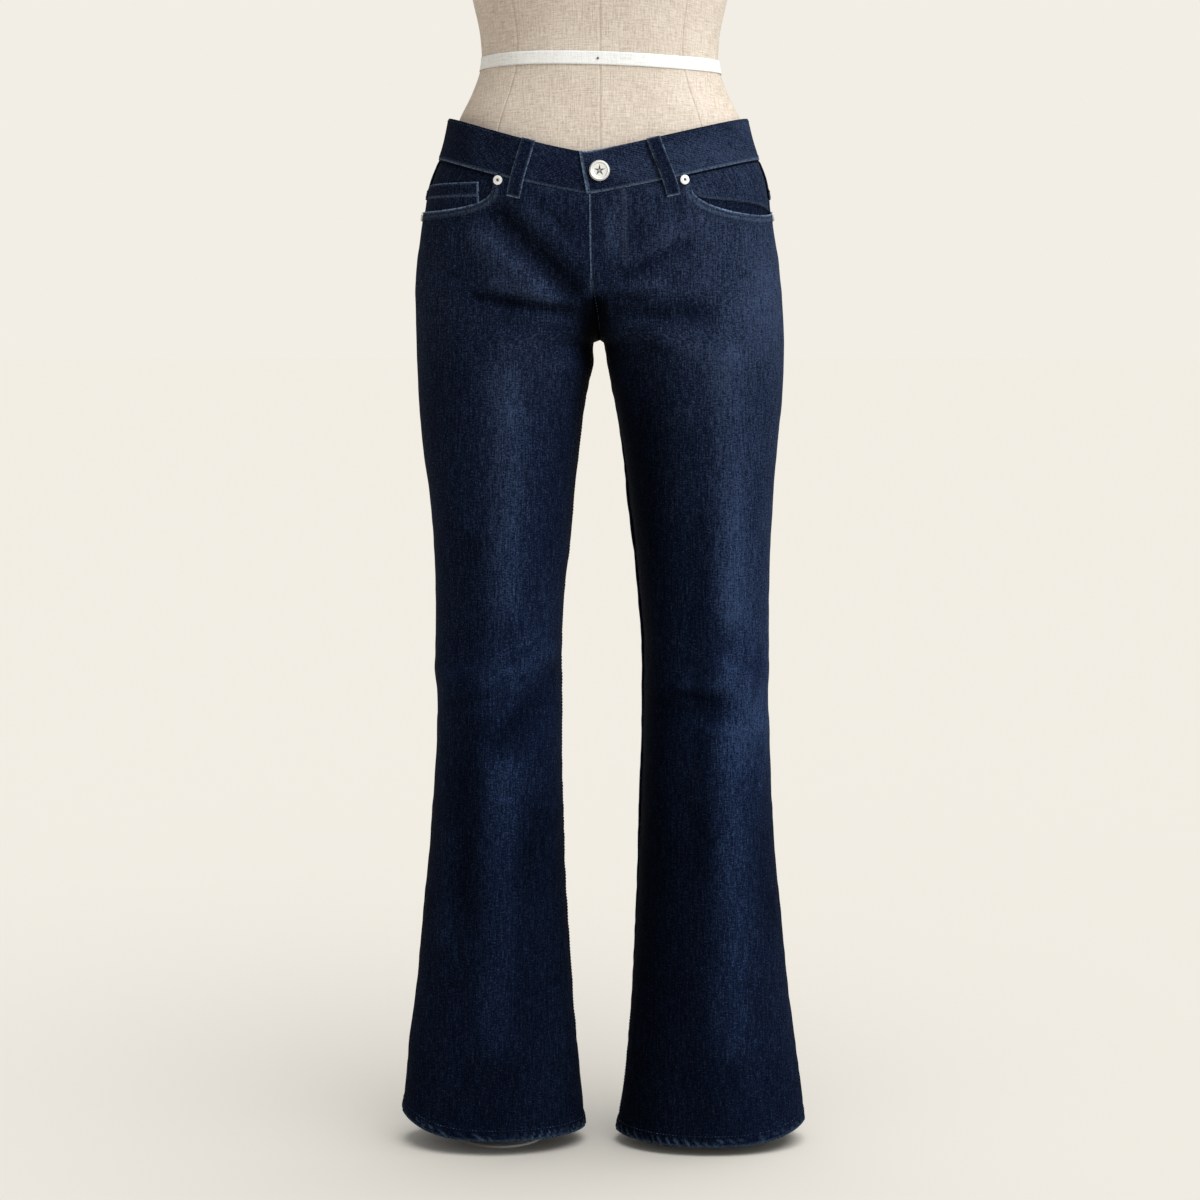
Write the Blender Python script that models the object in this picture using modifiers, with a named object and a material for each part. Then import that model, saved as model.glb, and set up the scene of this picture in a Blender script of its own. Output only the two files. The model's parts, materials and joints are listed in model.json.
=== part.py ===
"""Bootcut jeans on a limbless dress form: the cut pieces of the jeans, their metal trims, and the form that
fills the hips and stands on two rods inside the legs. Metres, +Z up, the front faces -Y, +X is the wearer's
left. The origin is on the floor, below the middle of the garment."""

import math

import bmesh
import bpy
import numpy as np
from mathutils import Vector

# ---------------------------------------------------------------- driving sizes
RIGHT = -1  # the wearer's right, at -X
LEFT = 1
FRONT = -1
BACK = 1

WALL = 0.0012  # denim
SEAM_INSET = 0.00022  # each panel stops this far short of its seam line
LAYER_GAP = 0.0003  # between one layer of cloth and the next
PATCH_GAP = 0.0011  # under a patch on a curved panel, whose facets rise between their corners
BAND_WALL = 0.0022  # two layers of denim
BAND_INSET = 0.0005  # the thicker band leans further in over the seam

CROTCH_HEIGHT = 0.820
FORK_HEIGHT = {FRONT: 0.085, BACK: 0.120}  # over this height the two legs grow into one body
FORK_EASE = 1.6

# Rings of the jeans, from the waist to the hem: how far they reach to each side, forwards and backwards, and
# the exponent of the ring, 2 for an ellipse and more for a squarer one.
GIRTH_COLUMNS = ("height", "outer_right", "outer_left", "front", "back", "roundness")
GIRTH_ROWS = (
    (1.070, 0.1430, 0.1420, 0.0935, 0.0970, 2.30),
    (1.036, 0.1478, 0.1452, 0.0955, 0.1000, 2.30),
    (0.994, 0.1585, 0.1565, 0.0990, 0.1060, 2.30),
    (0.975, 0.1665, 0.1635, 0.1005, 0.1100, 2.30),
    (0.946, 0.1725, 0.1680, 0.1020, 0.1145, 2.30),
    (0.918, 0.1768, 0.1722, 0.1030, 0.1180, 2.30),
    (0.890, 0.1800, 0.1765, 0.1030, 0.1190, 2.28),
    (0.853, 0.1812, 0.1800, 0.1005, 0.1165, 2.26),
    (0.820, 0.1812, 0.1812, 0.0970, 0.1090, 2.24),
    (0.780, 0.1800, 0.1808, 0.0930, 0.0980, 2.22),
    (0.739, 0.1778, 0.1780, 0.0895, 0.0900, 2.20),
    (0.705, 0.1745, 0.1750, 0.0865, 0.0835, 2.20),
    (0.664, 0.1692, 0.1720, 0.0830, 0.0770, 2.20),
    (0.620, 0.1660, 0.1695, 0.0800, 0.0720, 2.20),
    (0.573, 0.1648, 0.1688, 0.0770, 0.0680, 2.20),
    (0.520, 0.1645, 0.1692, 0.0740, 0.0650, 2.18),
    (0.490, 0.1660, 0.1695, 0.0724, 0.0640, 2.16),
    (0.468, 0.1640, 0.1690, 0.0710, 0.0630, 2.15),
    (0.430, 0.1642, 0.1700, 0.0690, 0.0620, 2.12),
    (0.380, 0.1668, 0.1720, 0.0665, 0.0610, 2.10),
    (0.328, 0.1710, 0.1752, 0.0640, 0.0600, 2.08),
    (0.284, 0.1755, 0.1792, 0.0620, 0.0590, 2.05),
    (0.215, 0.1820, 0.1860, 0.0590, 0.0570, 2.03),
    (0.164, 0.1870, 0.1918, 0.0570, 0.0560, 2.02),
    (0.108, 0.1945, 0.1995, 0.0550, 0.0550, 2.01),
    (0.074, 0.1982, 0.2040, 0.0540, 0.0550, 2.00),
    (0.005, 0.2062, 0.2125, 0.0520, 0.0540, 2.00),
)

# The inner side of each leg, from the crotch to the hem.
INSEAM_COLUMNS = ("height", "inner_right", "inner_left")
INSEAM_ROWS = (
    (0.820, 0.0000, 0.0000),
    (0.814, 0.0062, 0.0058),
    (0.803, 0.0072, 0.0068),
    (0.780, 0.0110, 0.0106),
    (0.739, 0.0182, 0.0184),
    (0.705, 0.0226, 0.0234),
    (0.664, 0.0278, 0.0276),
    (0.620, 0.0318, 0.0330),
    (0.573, 0.0372, 0.0374),
    (0.520, 0.0406, 0.0416),
    (0.468, 0.0408, 0.0429),
    (0.430, 0.0408, 0.0422),
    (0.380, 0.0402, 0.0410),
    (0.328, 0.0382, 0.0396),
    (0.284, 0.0370, 0.0386),
    (0.215, 0.0325, 0.0359),
    (0.164, 0.0292, 0.0332),
    (0.108, 0.0244, 0.0290),
    (0.074, 0.0213, 0.0260),
    (0.005, 0.0145, 0.0160),
)

# The centre front line stands off to the wearer's right at the waist.
CENTRE_FRONT_COLUMNS = ("height", "shift")
CENTRE_FRONT_ROWS = (
    (1.050, -0.0150),
    (0.998, -0.0135),
    (0.957, -0.0105),
    (0.900, -0.0095),
    (0.870, -0.0080),
    (0.840, -0.0030),
    (0.820, -0.0010),
    (0.780, 0.0000),
    (0.000, 0.0000),
)

# Heights of the waist seam, the waistband, the yoke seam and the hem.
WAIST_FRONT = 0.957
WAIST_SIDE = 0.994
WAIST_BACK = 1.012
BAND_HEIGHT = 0.0395
YOKE_SIDE = 0.036
YOKE_BACK = 0.068
HEM_COLUMNS = ("side", "bottom", "outer_rise", "inner_rise")
HEM_ROWS = (
    (RIGHT, 0.0160, 0.0175, 0.0005),
    (LEFT, 0.0100, 0.0140, 0.0030),
)

# The large folds: from (x1, z1) to (x2, z2), their half width and how far they stand out (+) or in (-).
FOLD_FREE_CENTRE = 0.030  # the folds die away this close to the centre seams
FOLD_COLUMNS = ("face", "x1", "z1", "x2", "z2", "half_width", "rise")
FOLD_ROWS = (
    (FRONT, -0.100, 0.935, -0.025, 0.872, 0.016, -0.0016),
    (FRONT, -0.105, 0.905, -0.050, 0.850, 0.020, 0.0030),
    (FRONT, -0.085, 0.848, -0.015, 0.838, 0.012, -0.0045),
    (FRONT, 0.030, 0.878, 0.075, 0.900, 0.016, -0.0014),
    (FRONT, 0.005, 0.850, 0.100, 0.842, 0.014, -0.0040),
    (FRONT, 0.020, 0.832, 0.090, 0.812, 0.018, 0.0035),
    (FRONT, -0.090, 0.815, -0.020, 0.800, 0.018, 0.0030),
    (FRONT, -0.040, 0.490, -0.100, 0.420, 0.016, -0.0045),
    (FRONT, -0.060, 0.520, -0.130, 0.470, 0.020, 0.0040),
    (FRONT, 0.068, 0.462, 0.112, 0.455, 0.014, -0.0040),
    (FRONT, 0.120, 0.500, 0.158, 0.440, 0.016, 0.0040),
    (BACK, -0.150, 0.762, -0.040, 0.742, 0.016, -0.0045),
    (BACK, 0.150, 0.764, 0.040, 0.744, 0.016, -0.0045),
    (BACK, -0.140, 0.520, -0.060, 0.490, 0.016, -0.0050),
    (BACK, -0.140, 0.480, -0.060, 0.450, 0.018, 0.0040),
    (BACK, 0.145, 0.515, 0.065, 0.480, 0.016, -0.0050),
    (BACK, 0.145, 0.475, 0.065, 0.440, 0.018, 0.0040),
)

# The grids of the cloth walls.
PANEL_COLUMNS = 12
FRONT_PLAIN_COLUMNS = 5  # of them, the ones between the centre front and the pocket
FORK_ROWS = 8
LEG_ROWS = 26
FORK_ROW_POWER = 1.8
FORK_ROW_REACH = 1.6
HEM_ROW_CROWDING = 0.8
HEM_ROW_POWER = 10
SHARE_OF_HALF_RING = 0.75  # a half ring's length over its width and depth together, for the seam insets
END_CROWDING = 0.55  # how far the columns crowd towards both seams, where the rings turn fastest
FACING_COLUMNS = 8
BAND_COLUMNS = 64

# The front pockets. Distances are from the centre front, measured level.
POCKET_START = 0.091
POCKET_CORNER_HEIGHT = 0.978  # the level at which the distances along the waist are measured
# How low each opening ends at the side seam, and how far its curve sags in the middle.
POCKET_COLUMNS = ("side", "side_end", "sag")
POCKET_ROWS = (
    (RIGHT, 0.9440, 0.0010),
    (LEFT, 0.9445, 0.0055),
)
POCKET_SQUARENESS = 4.2
POCKET_GAPE = 0.0022
POCKET_GAPE_DROP = 0.05  # the edge comes back onto the body over this height
FACING_DEPTH = 0.0029  # from the outside of the jeans to the outside of the facing
FACING_WALL = 0.0010
FACING_HIDDEN = 0.016  # how far it goes down behind the opening's edge
FACING_PAST_CORNER = 0.05  # and across behind the front panel, as a share of the panel
FACING_ROWS = 4
COIN_DEPTH = 0.0015
COIN_WALL = 0.0009
COIN_TOP = 0.970
COIN_HEIGHT = 0.030
COIN_INNER = 0.110  # from the centre front
COIN_OUTER_ACROSS = 0.93
COIN_GRID = (6, 3)

# The fly and the waistband's button end.
FLY_CENTRE = -0.0105
FLY_BOTTOM = 0.878
FLY_WIDTH = 0.034
FLY_LIFT = 0.0013
FLY_END_EASE = 0.012
BAND_UNDERLAP = 0.034
BAND_LEVEL_AGAIN = 0.040  # the hidden end has risen to the band's own level this far past the centre front
BAND_RAMP = 0.12  # over this share of a front's width
BAND_UNDER = 0.0027  # how deep the hidden end lies
BAND_ROWS = 3
YOKE_ROWS = 3
BAND_END_TOP = 0.0065
BAND_END_BOTTOM = 0.0020
BUTTON_FROM_EDGE = 0.0115
BUTTON_HEIGHT = 0.979

# Belt loops, by the distance round the waist: 0 centre front, 1 side seam, 2 centre back.
LOOP_WIDTH = 0.0135
LOOP_WALL = 0.0016
LOOP_STAND_OFF = 0.0020
LOOP_ABOVE = 0.0010  # over the top edge of the waistband
LOOP_BELOW = 0.0165  # under the waist seam
LOOP_ARCH = 0.6
LOOP_STEP = 0.01  # a short way round the waist, by which the loop's width is measured
LOOP_GRID = (2, 8)
LOOP_COLUMNS = ("name", "top", "bottom")
LOOP_ROWS = (
    ("belt_loop_front_right", -0.1980, -0.2470),
    ("belt_loop_front_left", 0.2310, 0.2720),
    ("belt_loop_back_right", -1.4300, -1.4200),
    ("belt_loop_back_left", 1.4300, 1.4200),
    ("belt_loop_centre_back", 2.0000, 2.0000),
)

# Back patch pockets: corners by distance from the centre back, measured level.
BACK_POCKET_WALL = 0.0012
BACK_POCKET_TOP = 0.930
BACK_POCKET_HEIGHT = 0.106
BACK_POCKET_TIP = 0.020
BACK_POCKET_TOP_INNER = 0.031
BACK_POCKET_TOP_OUTER = 0.139
BACK_POCKET_BOTTOM_INNER = 0.040
BACK_POCKET_BOTTOM_OUTER = 0.130
BACK_POCKET_GRID = (8, 6)

# Metal trims: radius and height of each turned profile, from the middle of the cap to its edge.
BUTTON_PROFILE = (
    (0.0000, 0.0021),
    (0.0058, 0.0022),
    (0.0066, 0.0029),
    (0.0078, 0.0031),
    (0.0088, 0.0029),
    (0.0097, 0.0020),
    (0.0100, 0.0010),
    (0.0094, 0.0000),
    (0.0000, 0.0000),
)
RIVET_PROFILE = (
    (0.0000, 0.0008),
    (0.0013, 0.0008),
    (0.0021, 0.0017),
    (0.0034, 0.0016),
    (0.0045, 0.0006),
    (0.0044, 0.0000),
    (0.0000, 0.0000),
)
RIVET_INSIDE = 0.020  # share of the panel between the pocket's corner and its rivet
RIVET_BELOW_WAIST = 0.0050
SIDE_RIVET_ACROSS = 0.957
RIVET_BELOW_MOUTH = 0.0048
BUTTON_STEPS = 24
RIVET_STEPS = 12

# The dress form, from its underside to the neck.
FORM_COLUMNS = ("height", "middle", "half_width", "front", "back")
FORM_ROWS = (
    (0.866, -0.0010, 0.1600, 0.0830, 0.0990),
    (0.870, -0.0010, 0.1700, 0.0925, 0.1090),
    (0.880, -0.0012, 0.1738, 0.0960, 0.1130),
    (0.900, -0.0019, 0.1733, 0.0970, 0.1135),
    (0.920, -0.0023, 0.1699, 0.0970, 0.1125),
    (0.946, -0.0022, 0.1657, 0.0960, 0.1095),
    (0.975, -0.0014, 0.1598, 0.0935, 0.1045),
    (1.000, 0.0000, 0.1500, 0.0905, 0.0985),
    (1.034, 0.0000, 0.1370, 0.0875, 0.0920),
    (1.060, 0.0000, 0.1240, 0.0850, 0.0870),
    (1.085, 0.0000, 0.1157, 0.0840, 0.0840),
    (1.110, 0.0000, 0.1160, 0.0850, 0.0845),
    (1.150, 0.0000, 0.1240, 0.0910, 0.0880),
    (1.205, 0.0000, 0.1360, 0.1030, 0.0950),
    (1.240, 0.0000, 0.1440, 0.1130, 0.1000),
    (1.270, 0.0000, 0.1500, 0.1185, 0.1030),
    (1.300, 0.0000, 0.1545, 0.1180, 0.1050),
    (1.335, 0.0000, 0.1580, 0.1090, 0.1055),
    (1.370, 0.0000, 0.1590, 0.0960, 0.1030),
    (1.400, 0.0000, 0.1560, 0.0850, 0.0970),
    (1.424, 0.0000, 0.1440, 0.0765, 0.0890),
    (1.443, 0.0000, 0.1230, 0.0690, 0.0800),
    (1.460, 0.0000, 0.0980, 0.0625, 0.0710),
    (1.478, 0.0000, 0.0740, 0.0560, 0.0620),
    (1.497, 0.0000, 0.0600, 0.0515, 0.0560),
    (1.525, 0.0000, 0.0535, 0.0485, 0.0520),
    (1.560, 0.0000, 0.0530, 0.0480, 0.0510),
)
FORM_ROUNDNESS = 2.25
FORM_SHARP_ANGLE = math.radians(50)
CLOTH_SHARP_ANGLE = math.radians(40)
FORM_SEGMENTS = 32
NECK_MIDDLE_BACK = 0.0015
CAP_PROFILE = (
    (0.0000, 0.0460),
    (0.0090, 0.0430),
    (0.0130, 0.0350),
    (0.0095, 0.0260),
    (0.0080, 0.0190),
    (0.0300, 0.0160),
    (0.0480, 0.0110),
    (0.0540, 0.0050),
    (0.0540, 0.0000),
    (0.0000, 0.0000),
)
CAP_STEPS = 32

# Two rods stand inside the legs, each on a round foot.
ROD_ACROSS = 0.102
ROD_BACK = 0.020
ROD_RADIUS = 0.007
FLANGE_RADIUS = 0.026
FLANGE_HEIGHT = 0.004
FOOT_RADIUS = 0.046
FOOT_HEIGHT = 0.002
FOOT_BOSS_RADIUS = 0.013
FOOT_BOSS_HEIGHT = 0.016
FOOT_EDGE = 0.0005
STAND_STEPS = 32
ROD_STEPS = 16

COLLECTION_NAME = "bootcut_jeans_on_dress_form"

# colour, metallic, roughness
FINISHES = {
    "indigo_denim": ((0.012, 0.021, 0.055, 1.0), 0.0, 0.85),
    "indigo_denim_cross": ((0.010, 0.018, 0.048, 1.0), 0.0, 0.85),
    "linen": ((0.58, 0.50, 0.40, 1.0), 0.0, 0.9),
    "silver_metal": ((0.72, 0.70, 0.66, 1.0), 1.0, 0.3),
    "turned_wood": ((0.45, 0.30, 0.17, 1.0), 0.0, 0.5),
    "stand_steel": ((0.78, 0.77, 0.74, 1.0), 0.2, 0.4),
}


# ---------------------------------------------------------------- reading the tables
def read_table(columns, rows, name, height):
    """One named column of a table at any height, on a smooth curve through its rows."""
    place = columns.index(name)
    ordered = sorted(rows)
    heights = np.array([row[0] for row in ordered])
    values = np.array([row[place] for row in ordered])
    slopes = np.gradient(values, heights)
    height = np.clip(height, heights[0], heights[-1])
    low = np.clip(np.searchsorted(heights, height) - 1, 0, len(heights) - 2)
    span = heights[low + 1] - heights[low]
    t = (height - heights[low]) / span
    start_share = 2 * t**3 - 3 * t**2 + 1
    end_share = 3 * t**2 - 2 * t**3
    start_lean = t**3 - 2 * t**2 + t
    end_lean = t**3 - t**2
    return (
        start_share * values[low]
        + end_share * values[low + 1]
        + span * (start_lean * slopes[low] + end_lean * slopes[low + 1])
    )


def girth(name, height):
    return read_table(GIRTH_COLUMNS, GIRTH_ROWS, name, height)


def smooth_step(value):
    value = np.clip(value, 0.0, 1.0)
    return value * value * (3 - 2 * value)


def crowd_ends(share):
    """Even shares from 0 to 1, moved closer together at both ends."""
    return share - END_CROWDING * math.sin(2 * math.pi * share) / (2 * math.pi)


# ---------------------------------------------------------------- the surface of the jeans
def oval(side, face, height):
    """Middle, half width, depth and roundness of the oval round one leg, and the cosine at which it ends."""
    word = "right" if side == RIGHT else "left"
    outer = girth("outer_" + word, height)
    inner = read_table(INSEAM_COLUMNS, INSEAM_ROWS, "inner_" + word, height)
    depth = girth("front" if face == FRONT else "back", height)
    roundness = girth("roundness", height)
    grown = np.clip((height - CROTCH_HEIGHT) / FORK_HEIGHT[face], 0.0, 1.0)
    lean = (1 - grown) ** FORK_EASE
    above = height >= CROTCH_HEIGHT
    half = np.where(above, outer / (1 + lean), (outer - inner) / 2)
    middle = np.where(above, lean * half, (outer + inner) / 2)
    end = np.where(above, -lean, -1.0)
    return middle, half, depth, roundness, end


def turn_of(cosine, roundness):
    """The turn whose ring point lies at this share of the half width."""
    return np.arccos(np.sign(cosine) * np.abs(cosine) ** (roundness / 2))


def fold_rise(face, x, z):
    """How far the large folds lift the cloth off its ring."""
    rise = np.zeros_like(x)
    for row in FOLD_ROWS:
        fold = dict(zip(FOLD_COLUMNS, row))
        if fold["face"] != face:
            continue
        along_x = fold["x2"] - fold["x1"]
        along_z = fold["z2"] - fold["z1"]
        length = math.hypot(along_x, along_z)
        along = ((x - fold["x1"]) * along_x + (z - fold["z1"]) * along_z) / length
        aside = ((x - fold["x1"]) * along_z - (z - fold["z1"]) * along_x) / length
        past_end = np.maximum(np.maximum(-along, along - length), 0.0)
        far = np.hypot(aside, past_end) / fold["half_width"]
        rise = rise + fold["rise"] * np.exp(-(far**2))
    return rise


def ring_point(side, face, height, across):
    """A point of the unfolded cloth. across is 0 at the centre seam or inseam and 1 at the side seam."""
    middle, half, depth, roundness, end = oval(side, face, height)
    turn = (1 - across) * turn_of(end, roundness)
    cosine = np.cos(turn)
    sine = np.sin(turn)
    x = middle + half * np.sign(cosine) * np.abs(cosine) ** (2 / roundness)
    y = face * depth * np.sign(sine) * np.abs(sine) ** (2 / roundness)
    x = side * x
    if face == FRONT:
        shift = read_table(CENTRE_FRONT_COLUMNS, CENTRE_FRONT_ROWS, "shift", height)
        reach = middle + half
        x = x + shift * (1 - np.clip(np.abs(x) / reach, 0, 1) ** 2)
    return np.stack([x, y, height + 0 * x], axis=-1)


def ring_normal(side, face, height, across):
    """The direction straight out of the cloth."""
    step = 1e-4
    along = ring_point(side, face, height, across + step) - ring_point(side, face, height, across - step)
    up = ring_point(side, face, height + step, across) - ring_point(side, face, height - step, across)
    normal = np.cross(along, up) * (side * -face)
    return normal / np.linalg.norm(normal, axis=-1, keepdims=True)


def cloth_point(side, face, height, across, out=0.0):
    """A point of the folded cloth, moved out of it by the distance given."""
    height = np.asarray(height, float)
    across = np.asarray(across, float)
    height, across = np.broadcast_arrays(height, across)
    point = ring_point(side, face, height, across)
    normal = ring_normal(side, face, height, across)
    rise = fold_rise(face, point[..., 0], point[..., 2])
    rise = rise * smooth_step(np.abs(point[..., 0]) / FOLD_FREE_CENTRE) * np.abs(normal[..., 1]) + out
    return point + normal * rise[..., None]


def across_of(side, face, height, level):
    """The share across a panel that lies this far from its centre line, measured level."""
    middle, half, _, roundness, end = oval(side, face, np.asarray(height, float))
    cosine = np.clip((level - middle) / half, -1, 1)
    return 1 - turn_of(cosine, roundness) / turn_of(end, roundness)


def round_the_waist(way):
    """Side, face and share across for a distance round the waist: 0 centre front, 1 side, 2 centre back."""
    way = (way + 2) % 4 - 2
    side = LEFT if way >= 0 else RIGHT
    if abs(way) <= 1:
        return side, FRONT, abs(way)
    return side, BACK, 2 - abs(way)


def waist_height(face, across):
    """Height of the seam under the waistband."""
    level = np.sin(across * math.pi / 2)
    if face == FRONT:
        return WAIST_FRONT + (WAIST_SIDE - WAIST_FRONT) * level
    return WAIST_BACK + (WAIST_SIDE - WAIST_BACK) * level


def yoke_height(across):
    """Height of the seam between yoke and back panel."""
    drop = YOKE_BACK + (YOKE_SIDE - YOKE_BACK) * across
    return waist_height(BACK, across) - drop


def hem_height(side, face, across):
    hem = next(dict(zip(HEM_COLUMNS, row)) for row in HEM_ROWS if row[0] == side)
    level = -np.cos(across * math.pi)
    outer = hem["outer_rise"] * np.clip(level, 0, 1) ** 3
    inner = hem["inner_rise"] * np.clip(-level, 0, 1) ** 3
    return hem["bottom"] + outer + inner


# ---------------------------------------------------------------- making objects
def clear_scene():
    for thing in list(bpy.data.objects):
        bpy.data.objects.remove(thing, do_unlink=True)


def make_finishes():
    made = {}
    for name, (colour, metallic, roughness) in FINISHES.items():
        material = bpy.data.materials.new(name)
        material.use_nodes = True
        shader = material.node_tree.nodes["Principled BSDF"]
        shader.inputs["Base Color"].default_value = colour
        shader.inputs["Metallic"].default_value = metallic
        shader.inputs["Roughness"].default_value = roughness
        made[name] = material
    return made


def add_object(name, bm, finish, sharp_angle=CLOTH_SHARP_ANGLE):
    mesh = bpy.data.meshes.new(name)
    bm.to_mesh(mesh)
    bm.free()
    mesh.materials.append(MATERIALS[finish])
    mesh.shade_smooth()
    mesh.set_sharp_from_angle(angle=sharp_angle)
    thing = bpy.data.objects.new(name, mesh)
    PARTS.objects.link(thing)
    return thing


def cloth_sheet(name, place, columns, rows, wall, finish):
    """A grid laid on the garment and given the thickness of its cloth on the inside. place turns the grid's
    two shares, across and down from the top, into a point and the direction out of the cloth there."""
    bm = bmesh.new()
    bmesh.ops.create_grid(bm, x_segments=columns, y_segments=rows, size=1.0)
    out_of_cloth = {}
    for vert in bm.verts:
        share_across = (vert.co.x + 1) / 2
        share_down = (1 - vert.co.y) / 2
        point, normal = place(share_across, share_down)
        vert.co = Vector(point)
        out_of_cloth[vert] = Vector(normal)
    bm.normal_update()
    facing_out = sum(out_of_cloth[vert].dot(vert.normal) for vert in bm.verts)
    if facing_out < 0:
        bmesh.ops.reverse_faces(bm, faces=bm.faces)
    thing = add_object(name, bm, finish)
    thickness = thing.modifiers.new("wall", "SOLIDIFY")
    thickness.thickness = wall
    thickness.offset = -1.0
    return thing


def turned(name, profile, steps, finish):
    """A profile turned round the object's own Z axis, its rows from the top to the bottom."""
    mesh = bpy.data.meshes.new(name)
    points = [(radius, 0.0, height) for radius, height in profile]
    edges = [(i, i + 1) for i in range(len(points) - 1)]
    mesh.from_pydata(points, edges, [])
    mesh.materials.append(MATERIALS[finish])
    thing = bpy.data.objects.new(name, mesh)
    PARTS.objects.link(thing)
    screw = thing.modifiers.new("turn", "SCREW")
    screw.axis = "Z"
    screw.steps = steps
    screw.render_steps = steps
    screw.use_merge_vertices = True
    screw.merge_threshold = 0.00005
    screw.use_smooth_shade = True
    return thing


def seat_on_cloth(thing, side, face, height, across, out):
    """Stands a turned trim on the cloth, its axis straight out of it."""
    thing.location = Vector(cloth_point(side, face, height, across, out))
    normal = Vector(ring_normal(side, face, np.asarray(height, float), np.asarray(across, float)))
    thing.rotation_euler = normal.to_track_quat("Z", "Y").to_euler()


# ---------------------------------------------------------------- the jeans
def panel_row_height(top, bottom, share_down, across):
    """Heights of a panel's rows: close together where the fork of the legs curves under."""
    fork_share = FORK_ROWS / (FORK_ROWS + LEG_ROWS)
    if share_down > fork_share:
        down = (share_down - fork_share) / (1 - fork_share)
        down *= 1 - HEM_ROW_CROWDING * (1 - down) ** HEM_ROW_POWER
        return CROTCH_HEIGHT + (bottom - CROTCH_HEIGHT) * down
    up = 1 - share_down / fork_share
    at_fork = up**FORK_ROW_POWER
    share_up = at_fork + (up - at_fork) * smooth_step(across * FORK_ROW_REACH)
    return CROTCH_HEIGHT + (top - CROTCH_HEIGHT) * share_up


def inset_across(side, face, height, across):
    """Keeps a panel's two long edges off their seam lines."""
    _, half, depth, _, _ = oval(side, face, np.asarray(height, float))
    width = 2 * float(half + depth) * SHARE_OF_HALF_RING
    margin = SEAM_INSET / width
    return margin + across * (1 - 2 * margin)


def keep_to_side(point, side, face):
    """Holds a panel's edge off the plane of its centre seam, where the legs meet side by side."""
    centre = 0.0
    if face == FRONT:
        centre = float(read_table(CENTRE_FRONT_COLUMNS, CENTRE_FRONT_ROWS, "shift", point[2]))
    point[0] = centre + side * max(side * (point[0] - centre), SEAM_INSET)
    return point


def pocket_mouth_height(side, across, start):
    """Height of the curved pocket opening between its inner corner and the side seam."""
    share = np.clip((1 - across) / (1 - start), 0, 1)
    drop = (1 - share**POCKET_SQUARENESS) ** (1 / POCKET_SQUARENESS)
    corner = waist_height(FRONT, start)
    pocket = next(dict(zip(POCKET_COLUMNS, row)) for row in POCKET_ROWS if row[0] == side)
    sag = pocket["sag"] * np.sin(math.pi * share)
    return corner + (pocket["side_end"] - corner) * drop - sag


def pocket_start(side):
    return float(across_of(side, FRONT, POCKET_CORNER_HEIGHT, POCKET_START))


def front_panel(side, name):
    """From the centre front to the side seam and from the waist to the hem, cut away at the pocket."""
    start = pocket_start(side)
    plain_share = FRONT_PLAIN_COLUMNS / PANEL_COLUMNS

    def place(share_across, share_down):
        if share_across <= plain_share:
            across = start * crowd_ends(share_across / plain_share)
            top = waist_height(FRONT, across)
            lift = 0.0
        else:
            past_corner = crowd_ends((share_across - plain_share) / (1 - plain_share))
            across = start + (1 - start) * past_corner
            top = pocket_mouth_height(side, across, start)
            lift = POCKET_GAPE * math.sin(math.pi * past_corner) ** 2
        top -= SEAM_INSET
        bottom = hem_height(side, FRONT, across)
        height = float(panel_row_height(top, bottom, share_down, across))
        inset = inset_across(side, FRONT, height, across)
        out = lift * float(smooth_step(1 - (top - height) / POCKET_GAPE_DROP))
        if side == LEFT:
            level = abs(float(ring_point(side, FRONT, np.float64(height), inset)[0]) - FLY_CENTRE)
            beside = smooth_step(1 - level / FLY_WIDTH)
            out += FLY_LIFT * float(beside * smooth_step((height - FLY_BOTTOM) / FLY_END_EASE))
        point = keep_to_side(cloth_point(side, FRONT, height, inset, out), side, FRONT)
        normal = ring_normal(side, FRONT, np.float64(height), np.float64(inset))
        return point, normal

    return cloth_sheet(name, place, PANEL_COLUMNS, FORK_ROWS + LEG_ROWS, WALL, "indigo_denim")


def back_panel(side, name):
    """From the centre back to the side seam and from the yoke to the hem."""

    def place(share_across, share_down):
        across = crowd_ends(share_across)
        top = yoke_height(across) - SEAM_INSET
        bottom = hem_height(side, BACK, across)
        height = float(panel_row_height(top, bottom, share_down, across))
        inset = inset_across(side, BACK, height, across)
        point = keep_to_side(cloth_point(side, BACK, height, inset), side, BACK)
        normal = ring_normal(side, BACK, np.float64(height), np.float64(inset))
        return point, normal

    return cloth_sheet(name, place, PANEL_COLUMNS, FORK_ROWS + LEG_ROWS, WALL, "indigo_denim")


def yoke(side, name):
    """The shaped strip between the waistband and the back panel."""

    def place(share_across, share_down):
        across = crowd_ends(share_across)
        top = waist_height(BACK, across) - SEAM_INSET
        bottom = yoke_height(across) + SEAM_INSET
        height = top + (bottom - top) * share_down
        inset = inset_across(side, BACK, height, across)
        point = cloth_point(side, BACK, height, inset)
        normal = ring_normal(side, BACK, np.float64(height), np.float64(inset))
        return point, normal

    return cloth_sheet(name, place, PANEL_COLUMNS, YOKE_ROWS, WALL, "indigo_denim_cross")


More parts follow.
